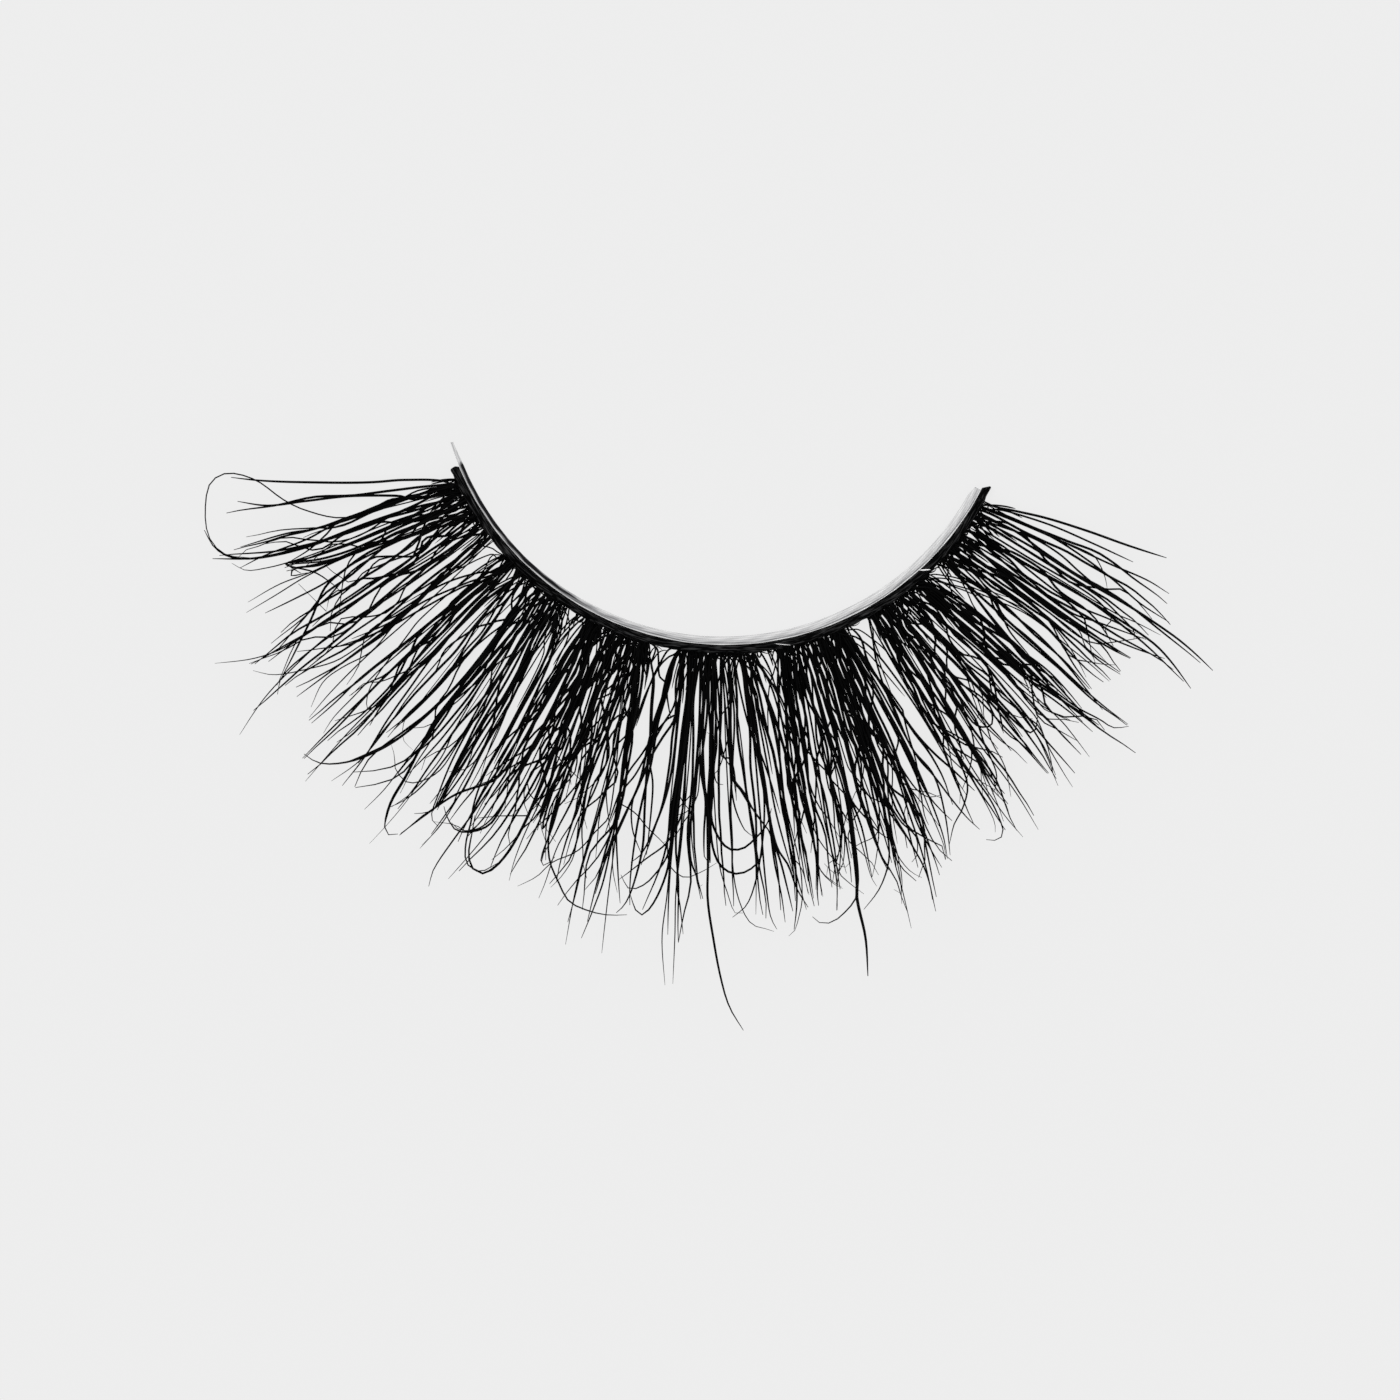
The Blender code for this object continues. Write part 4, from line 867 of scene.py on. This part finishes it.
fan_5_loose = (
    (STIFF, (15.3, 5.4), (15.6, 7.8), (14.7, 11.0), (14.2, 12.4), (13.6, 13.4), (13.5, 15.4),
     (12.9, 17.3)),
    (MEDIUM, (14.9, 5.2), (15.2, 8.2), (14.5, 10.8), (13.9, 12.7), (13.5, 13.4), (12.3, 13.9),
     (10.8, 14.3), (9.6, 14.3), (8.8, 13.9)),
    (MEDIUM, (9.2, 7.6), (9.0, 10.0), (9.2, 11.5), (9.2, 13.0)),
    (HEAVY, (11.0, 7.2), (10.9, 9.6), (10.2, 11.6), (9.7, 12.7), (9.6, 13.4)),
    (FINE, (10.2, 9.8), (10.4, 11.6), (11.2, 12.2), (12.3, 12.7)),
    (FINE, (10.4, 9.6), (10.2, 11.6), (10.2, 13.0)),
    (MEDIUM, (12.2, 9.4), (12.0, 12.0), (11.8, 12.8), (11.3, 13.8)),
    (MEDIUM, (10.4, 1.2), (9.0, 2.6), (8.2, 4.2), (7.6, 6.2), (7.0, 8.0)),
    (MEDIUM, (10.8, 2.2), (9.6, 3.8), (8.9, 5.8), (8.6, 8.0), (8.2, 9.8)),
    (MEDIUM, (19.6, 8.4), (18.9, 10.2), (18.3, 11.6), (17.5, 12.4), (16.0, 13.3), (14.0, 14.05)),
    (HEAVY, (17.0, 7.4), (17.1, 9.8), (17.3, 11.6), (17.6, 12.5)),
    (FINE, (18.2, 9.0), (17.6, 10.6), (14.9, 10.9), (14.0, 11.4)),
    (MEDIUM, (15.8, 8.5), (17.0, 9.8), (17.9, 10.6), (19.0, 11.2)),
    (FINE, (16.6, 7.0), (17.4, 7.8), (18.2, 9.0), (18.6, 10.6)),
    (HEAVY, (19.8, 6.4), (19.9, 9.0), (19.2, 10.8), (18.5, 12.4)),
    (FINE, (19.2, 10.0), (18.5, 12.0), (18.3, 13.6), (17.95, 15.6)),
    (FINE, (19.4, 8.4), (19.0, 11.0), (18.5, 13.0), (17.8, 14.3)),
    (FINE, (19.2, 9.6), (18.9, 12.4), (18.1, 13.8), (17.5, 13.5)),
    (FINE, (18.8, 9.6), (19.0, 11.9), (19.7, 12.9), (20.6, 13.4)),
    (MEDIUM, (19.9, 8.6), (20.6, 10.4), (21.6, 11.4), (20.9, 12.3), (20.2, 12.5)),
    (MEDIUM, (21.9, 7.1), (20.6, 8.6), (19.9, 9.6), (19.3, 10.6)),
    (FINE, (22.2, 7.4), (20.8, 9.0), (20.0, 10.0), (19.4, 11.4)),
    (MEDIUM, (20.0, 9.4), (20.8, 11.6), (21.2, 13.2), (20.7, 15.2)),
    (MEDIUM, (22.4, 7.0), (21.9, 9.9), (21.6, 12.0), (21.2, 13.6), (20.8, 14.6)),
    (MEDIUM, (22.4, 8.4), (22.3, 11.0), (22.6, 12.4), (22.9, 13.3)),
    (MEDIUM, (22.9, 7.0), (23.6, 9.0), (24.6, 9.8), (26.0, 10.0)),
    (MEDIUM, (24.6, 7.8), (24.2, 9.2), (23.4, 10.6), (23.4, 11.1)),
    (MEDIUM, (24.9, 6.8), (24.8, 9.6), (24.4, 11.8), (23.8, 13.0)),
    (FINE, (24.4, 7.8), (24.2, 10.6), (24.0, 12.4), (23.6, 13.0)),
    (MEDIUM, (25.6, 4.6), (25.4, 7.2), (26.4, 8.9), (25.6, 10.9), (24.2, 12.9)),
    (MEDIUM, (25.6, 7.8), (26.4, 9.0), (27.0, 10.4), (27.6, 11.6), (28.2, 12.4)),
    (HEAVY, (25.0, 2.4), (25.9, 4.6), (26.7, 6.6), (27.7, 8.0), (28.8, 9.2), (29.8, 10.6)),
    (MEDIUM, (23.0, 0.7), (25.0, 1.1), (26.8, 2.1), (28.0, 4.0), (28.6, 6.0), (28.8, 8.8)),
    (FINE, (23.2, 1.0), (24.6, 1.4), (25.8, 2.2), (26.8, 3.4), (27.8, 4.8)),
    (FINE, (24.4, 0.6), (26.0, 0.8), (27.6, 1.6), (28.6, 2.4), (29.2, 4.0)),
    (FINE, (11.4, 0.6), (9.8, 0.9), (8.6, 1.6), (7.6, 2.2), (6.8, 3.4), (6.4, 5.0)),
    (MEDIUM, (10.6, 4.8), (9.3, 6.8), (8.8, 8.6), (8.4, 11.0)),
    (MEDIUM, (8.9, 5.0), (9.4, 6.9), (10.2, 8.6), (10.2, 11.0), (9.6, 12.6)),
    (FINE, (10.6, 9.6), (12.0, 11.2), (13.0, 11.8), (13.9, 11.6)),
    (FINE, (13.8, 9.6), (12.8, 11.4), (11.9, 12.6), (11.4, 13.8)),
    (FINE, (12.0, 9.4), (12.4, 12.0), (13.2, 12.6), (14.4, 13.3)),
    (FINE, (10.2, 9.8), (10.4, 11.6), (11.4, 12.4), (12.4, 12.8)),
    (FINE, (14.0, 10.0), (13.0, 11.6), (12.0, 12.0), (11.0, 11.4)),
    (FINE, (13.4, 10.2), (12.6, 11.2), (11.6, 11.4), (11.0, 12.0)),
    (FINE, (15.6, 9.4), (15.6, 11.4), (15.6, 12.6), (15.9, 13.1)),
)
fan_5 = lock_hairs("fan_5_lashes", fan_5_locks, 7.2, 51)
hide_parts("lash_fan_5")
loose_hairs("fan_5_loose_hairs", fan_5_loose, fan_5_locks, 52)
root_knots("fan_5_knots", 8.8, 23.0, 14, 53)

# Sixth fan. Its left edge leans over the window to the fifth fan, hairs hook together in its middle,
# and one lock on the right is longer than the rest.
fan_6_locks = (
    (29.6, 29.1, 28.4, 12.0, 0.36),
    (30.4, 30.3, 30.5, 13.1, 0.44),
    (31.4, 31.8, 32.3, 11.8, 0.38),
    (32.4, 32.4, 31.4, 13.5, 0.50),
    (33.2, 33.6, 33.5, 13.8, 0.38),
    (34.1, 35.0, 35.8, 9.8, 0.30),
    (35.9, 37.3, 37.6, 11.8, 0.46),
    (37.2, 38.5, 38.2, 12.6, 0.42),
    (38.7, 40.0, 39.0, 13.0, 0.50),
    (39.8, 41.6, 41.8, 12.2, 0.40),
    (40.6, 43.2, 46.0, 14.3, 0.42),
    (41.1, 44.6, 44.8, 10.6, 0.40),
)
fan_6_loose = (
    (MEDIUM, (28.4, 0.7), (27.4, 1.6), (26.3, 2.6), (25.6, 4.0), (25.4, 5.6), (25.4, 7.4)),
    (FINE, (28.8, 0.6), (28.2, 1.2), (27.2, 1.8), (26.6, 3.0), (26.2, 4.4)),
    (MEDIUM, (30.3, 9.0), (30.8, 11.2), (30.6, 12.4), (30.2, 13.1), (29.4, 13.3), (28.3, 13.0)),
    (FINE, (30.0, 8.4), (30.2, 10.6), (30.0, 12.4), (29.5, 12.9)),
    (FINE, (29.0, 7.2), (29.8, 8.6), (30.6, 9.0), (30.4, 8.2), (29.6, 8.2)),
    (FINE, (30.4, 6.8), (29.6, 8.2), (28.9, 9.0), (28.4, 10.2), (27.6, 10.8)),
    (FINE, (29.0, 8.0), (30.0, 9.6), (31.0, 10.4), (32.0, 11.2)),
    (MEDIUM, (30.0, 8.8), (29.4, 10.2), (27.6, 11.1), (26.0, 11.6), (24.6, 12.4)),
    (FINE, (30.9, 9.4), (31.1, 11.4), (31.3, 12.6), (31.7, 13.8)),
    (FINE, (31.9, 9.0), (31.6, 10.9), (32.0, 12.0), (31.6, 12.6)),
    (HEAVY, (32.4, 7.4), (32.2, 9.4), (32.3, 10.8), (32.5, 11.5)),
    (MEDIUM, (34.6, 7.4), (33.7, 8.9), (33.0, 10.4), (32.0, 11.0), (31.3, 11.2)),
    (FINE, (33.2, 8.6), (33.5, 10.4), (33.6, 12.0), (33.4, 13.9)),
    (FINE, (35.2, 8.1), (34.6, 9.0), (34.2, 10.4), (32.9, 11.8)),
    (MEDIUM, (34.0, 7.6), (34.6, 8.1), (35.8, 8.3), (36.8, 7.8), (37.4, 7.0), (37.8, 5.9)),
    (FINE, (37.3, 5.4), (36.2, 7.0), (35.5, 7.7), (34.8, 7.9)),
    (FINE, (37.1, 5.2), (36.0, 6.6), (35.2, 7.5), (34.2, 7.7)),
    (MEDIUM, (35.4, 4.9), (36.4, 6.9), (36.9, 8.6), (37.4, 10.4), (37.6, 11.9)),
    (FINE, (37.8, 6.6), (37.8, 9.0), (37.5, 10.8), (37.6, 11.8)),
    (FINE, (35.0, 7.8), (35.6, 9.2), (36.2, 10.0), (36.5, 10.9)),
    (HEAVY, (38.0, 7.2), (38.4, 9.0), (39.0, 9.8), (39.8, 9.8), (40.6, 9.5), (41.2, 9.3)),
    (MEDIUM, (39.6, 8.0), (39.2, 10.6), (38.6, 11.6), (38.2, 12.2)),
    (FINE, (40.7, 9.2), (39.6, 10.8), (39.0, 12.4), (38.8, 13.2)),
    (FINE, (39.4, 9.8), (38.6, 11.4), (38.0, 12.2), (37.7, 12.7)),
    (MEDIUM, (41.4, 6.8), (41.4, 9.4), (41.6, 10.6), (41.7, 11.5)),
    (FINE, (42.2, 8.2), (42.6, 10.3), (42.5, 11.2), (42.2, 12.6)),
    (FINE, (41.6, 7.8), (42.2, 9.2), (42.9, 10.2), (43.6, 10.8)),
    (MEDIUM, (44.2, 8.2), (45.0, 10.4), (45.8, 11.6), (46.2, 12.4), (47.4, 12.9)),
    (MEDIUM, (45.2, 6.6), (45.7, 8.0), (45.6, 9.4), (45.3, 10.6)),
    (FINE, (42.0, 0.6), (44.0, 1.0), (45.8, 1.7), (47.4, 2.9), (49.0, 4.2), (50.2, 5.6)),
    (FINE, (42.6, 0.6), (44.4, 1.5), (46.2, 2.4), (47.6, 3.5), (49.3, 5.2), (49.8, 7.2)),
    (MEDIUM, (41.4, 2.6), (41.5, 4.4), (41.7, 6.0), (42.1, 7.4), (42.6, 8.2)),
    (MEDIUM, (42.0, 2.0), (42.6, 3.0), (43.0, 4.2), (43.3, 5.6), (43.4, 7.4), (43.2, 9.0)),
    (HEAVY, (41.4, 1.0), (42.4, 1.8), (43.2, 2.8), (43.7, 4.6), (44.0, 6.4), (44.2, 8.2)),
    (HEAVY, (41.8, 0.8), (43.2, 1.6), (44.2, 2.8), (44.8, 4.4), (45.0, 6.0), (44.8, 7.8), (44.9, 9.8)),
    (FINE, (42.4, 0.7), (44.0, 1.4), (45.4, 2.2), (46.4, 2.9), (47.4, 3.3)),
    (FINE, (43.4, 0.6), (45.0, 1.1), (46.2, 1.6), (47.4, 2.4), (48.2, 3.1), (49.6, 4.2)),
    (MEDIUM, (43.2, 6.8), (42.6, 7.8), (42.0, 8.3)),
    (FINE, (43.6, 7.2), (42.9, 7.9), (42.2, 8.8), (42.1, 9.4), (43.0, 10.1), (43.4, 10.6)),
    (HEAVY, (43.0, 7.6), (43.6, 8.4), (44.2, 9.4), (45.0, 10.9), (45.3, 11.8)),
    (MEDIUM, (43.2, 8.2), (43.7, 9.4), (44.1, 10.6), (44.3, 11.8)),
    (MEDIUM, (44.3, 8.6), (44.3, 9.8), (44.3, 11.1)),
)
fan_6 = lock_hairs("fan_6_lashes", fan_6_locks, 6.8, 61)
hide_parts("lash_fan_6")
loose_hairs("fan_6_loose_hairs", fan_6_loose, fan_6_locks, 62)
root_knots("fan_6_knots", 29.0, 42.2, 13, 63)

# Seventh fan, at the inner corner. Its left hairs stand open over the window, dark blunt hairs end
# in its middle, and the last few lashes bend away over the bare end of the band.
fan_7_locks = (
    (46.9, 46.8, 47.4, 12.8, 0.20),
    (47.6, 48.2, 47.6, 10.0, 0.20),
    (48.5, 49.8, 48.2, 10.2, 0.24),
    (49.4, 50.3, 49.9, 10.7, 0.34),
    (50.4, 51.1, 51.0, 10.8, 0.40),
    (51.5, 52.2, 53.2, 10.9, 0.50),
    (52.7, 53.6, 55.3, 12.0, 0.36),
    (54.3, 56.0, 54.5, 13.9, 0.50),
    (56.0, 57.4, 56.8, 10.6, 0.56),
    (57.3, 58.5, 57.1, 14.4, 0.34),
    (58.6, 60.3, 59.1, 11.2, 0.30),
    (59.3, 61.6, 61.9, 10.6, 0.34),
)
fan_7_loose = (
    (FINE, (46.8, 0.8), (45.4, 1.2), (44.0, 1.8), (43.4, 2.6), (43.2, 4.0)),
    (FINE, (47.0, 1.2), (45.8, 2.4), (44.8, 3.2), (44.2, 4.6)),
    (MEDIUM, (47.8, 3.4), (46.6, 4.7), (45.9, 5.4), (45.4, 7.0)),
    (MEDIUM, (47.9, 3.3), (47.0, 3.9), (46.5, 4.5), (46.5, 5.6), (46.7, 7.2), (47.0, 9.4), (47.2, 11.4),
     (47.5, 12.8)),
    (MEDIUM, (48.0, 3.7), (47.2, 4.3), (46.9, 4.9), (47.1, 6.2), (47.1, 8.2), (47.1, 10.4)),
    (MEDIUM, (47.0, 1.6), (46.4, 2.4), (45.9, 3.2), (45.5, 4.0), (45.1, 5.0), (44.9, 6.2), (44.6, 8.0)),
    (MEDIUM, (46.8, 1.8), (46.1, 3.0), (45.6, 4.2), (45.2, 5.6), (44.8, 7.2), (44.4, 9.0)),
    (MEDIUM, (48.0, 3.9), (48.3, 6.4), (47.9, 8.4), (47.3, 10.0), (46.8, 11.4)),
    (MEDIUM, (50.0, 5.9), (49.6, 7.4), (48.4, 8.9), (47.7, 10.3)),
    (FINE, (48.6, 3.4), (49.6, 5.4), (49.7, 7.6), (49.8, 9.4), (49.7, 10.7)),
    (FINE, (51.0, 5.9), (50.1, 7.6), (49.2, 8.8), (48.3, 9.7)),
    (MEDIUM, (50.9, 6.4), (51.0, 8.2), (50.8, 9.6), (51.1, 10.9)),
    (FINE, (52.2, 7.9), (51.2, 8.6), (50.6, 9.4), (50.0, 9.7)),
    (FINE, (51.7, 7.0), (51.6, 8.8), (51.2, 10.0)),
    (HEAVY, (52.0, 5.8), (52.4, 8.2), (52.8, 9.8), (53.2, 10.8)),
    (HEAVY, (52.3, 5.8), (52.8, 8.4), (53.1, 10.0), (53.3, 10.8)),
    (HEAVY, (52.6, 6.2), (52.9, 8.8), (53.0, 10.2)),
    (MEDIUM, (53.2, 6.4), (53.5, 8.8), (54.4, 10.6), (55.4, 12.2)),
    (MEDIUM, (53.4, 7.0), (54.4, 8.4), (55.2, 9.6), (56.0, 10.9)),
    (MEDIUM, (54.6, 5.6), (54.7, 7.2), (55.6, 8.9), (56.0, 10.4)),
    (HEAVY, (56.0, 6.8), (56.2, 9.4), (56.1, 11.3), (55.6, 12.4), (54.4, 14.1)),
    (HEAVY, (58.0, 6.6), (58.2, 9.4), (58.0, 11.8), (57.7, 13.0), (57.1, 14.5)),
    (MEDIUM, (56.8, 7.4), (55.8, 8.9), (54.4, 8.9), (53.9, 9.2)),
    (MEDIUM, (57.2, 7.8), (56.6, 9.2), (56.0, 10.2), (55.2, 10.4)),
    (FINE, (56.6, 9.0), (57.0, 10.0), (57.3, 11.4)),
    (MEDIUM, (59.4, 3.4), (59.4, 4.9), (58.6, 6.4), (58.2, 7.6), (58.4, 9.4)),
    (MEDIUM, (61.0, 4.5), (60.6, 6.4), (60.0, 8.0), (59.2, 9.6), (59.0, 11.4)),
    (MEDIUM, (61.2, 4.9), (61.6, 7.4), (62.0, 9.4), (61.8, 10.7)),
    (FINE, (61.6, 6.4), (60.7, 7.1), (59.6, 7.6), (58.7, 7.9)),
    (HEAVY, (60.8, 1.0), (61.8, 1.9), (63.2, 3.5), (64.2, 5.6), (64.8, 7.8), (65.4, 9.8)),
    (MEDIUM, (60.6, 1.2), (61.6, 2.2), (62.6, 4.0), (63.0, 6.2), (63.2, 8.4)),
)
fan_7 = lock_hairs("fan_7_lashes", fan_7_locks, 4.3, 71)
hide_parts("lash_fan_7")
loose_hairs("fan_7_loose_hairs", fan_7_loose, fan_7_locks, 72)
root_knots("fan_7_knots", 45.8, 59.2, 14, 73)

# Table, lights and camera. The strip lies on a white light table under broad soft lamps, and is seen
# from straight above through a long lens.
TABLE_SIZE = 6.0
TABLE_DROP = 0.00001
table_glow = 0.79
table_paint = 0.05
view_width = 0.070
view_distance = 1.5
view_middle = (-0.001275, -0.002455)
sensor_mm = 36.0

table_mesh = bpy.data.meshes.new("light_table")
half = TABLE_SIZE / 2
corners = [(x, y, -TABLE_DROP) for x, y in ((-half, -half), (half, -half), (half, half), (-half, half))]
table_mesh.from_pydata(corners, [], [(0, 1, 2, 3)])
table = bpy.data.objects.new("light_table", table_mesh)
bpy.context.scene.collection.objects.link(table)
lit_table, tree, shader = finish_nodes("lit_table", 0.9, specular=0.0)
shader.inputs["Base Color"].default_value = (table_paint, table_paint, table_paint, 1.0)
shader.inputs["Emission Color"].default_value = (1.0, 1.0, 1.0, 1.0)
shader.inputs["Emission Strength"].default_value = table_glow
table_mesh.materials.append(lit_table)

world = bpy.data.worlds.new("pale_room")
world.use_nodes = True
world.node_tree.nodes["Background"].inputs["Color"].default_value = (0.80, 0.80, 0.80, 1.0)
world.node_tree.nodes["Background"].inputs["Strength"].default_value = 1.0
bpy.context.scene.world = world

for lamp_name, place, size, power in (
    ("broad_lamp", (-0.35, 0.35, 0.7), 0.5, 3.0),
    ("low_lamp", (0.45, -0.3, 0.4), 0.3, 1.0),
):
    lamp_data = bpy.data.lights.new(lamp_name, "AREA")
    lamp_data.size = size
    lamp_data.energy = power
    lamp = bpy.data.objects.new(lamp_name, lamp_data)
    x, y, z = place
    lamp.location = place
    lamp.rotation_euler = (np.arctan2(np.hypot(x, y), z), 0.0, np.arctan2(x, -y))
    bpy.context.scene.collection.objects.link(lamp)

camera_data = bpy.data.cameras.new("camera")
camera_data.sensor_width = sensor_mm
camera_data.lens = sensor_mm * view_distance / view_width
camera = bpy.data.objects.new("camera", camera_data)
camera.location = (*view_middle, view_distance)
bpy.context.scene.collection.objects.link(camera)
bpy.context.scene.camera = camera
bpy.context.scene.view_settings.view_transform = "Standard"
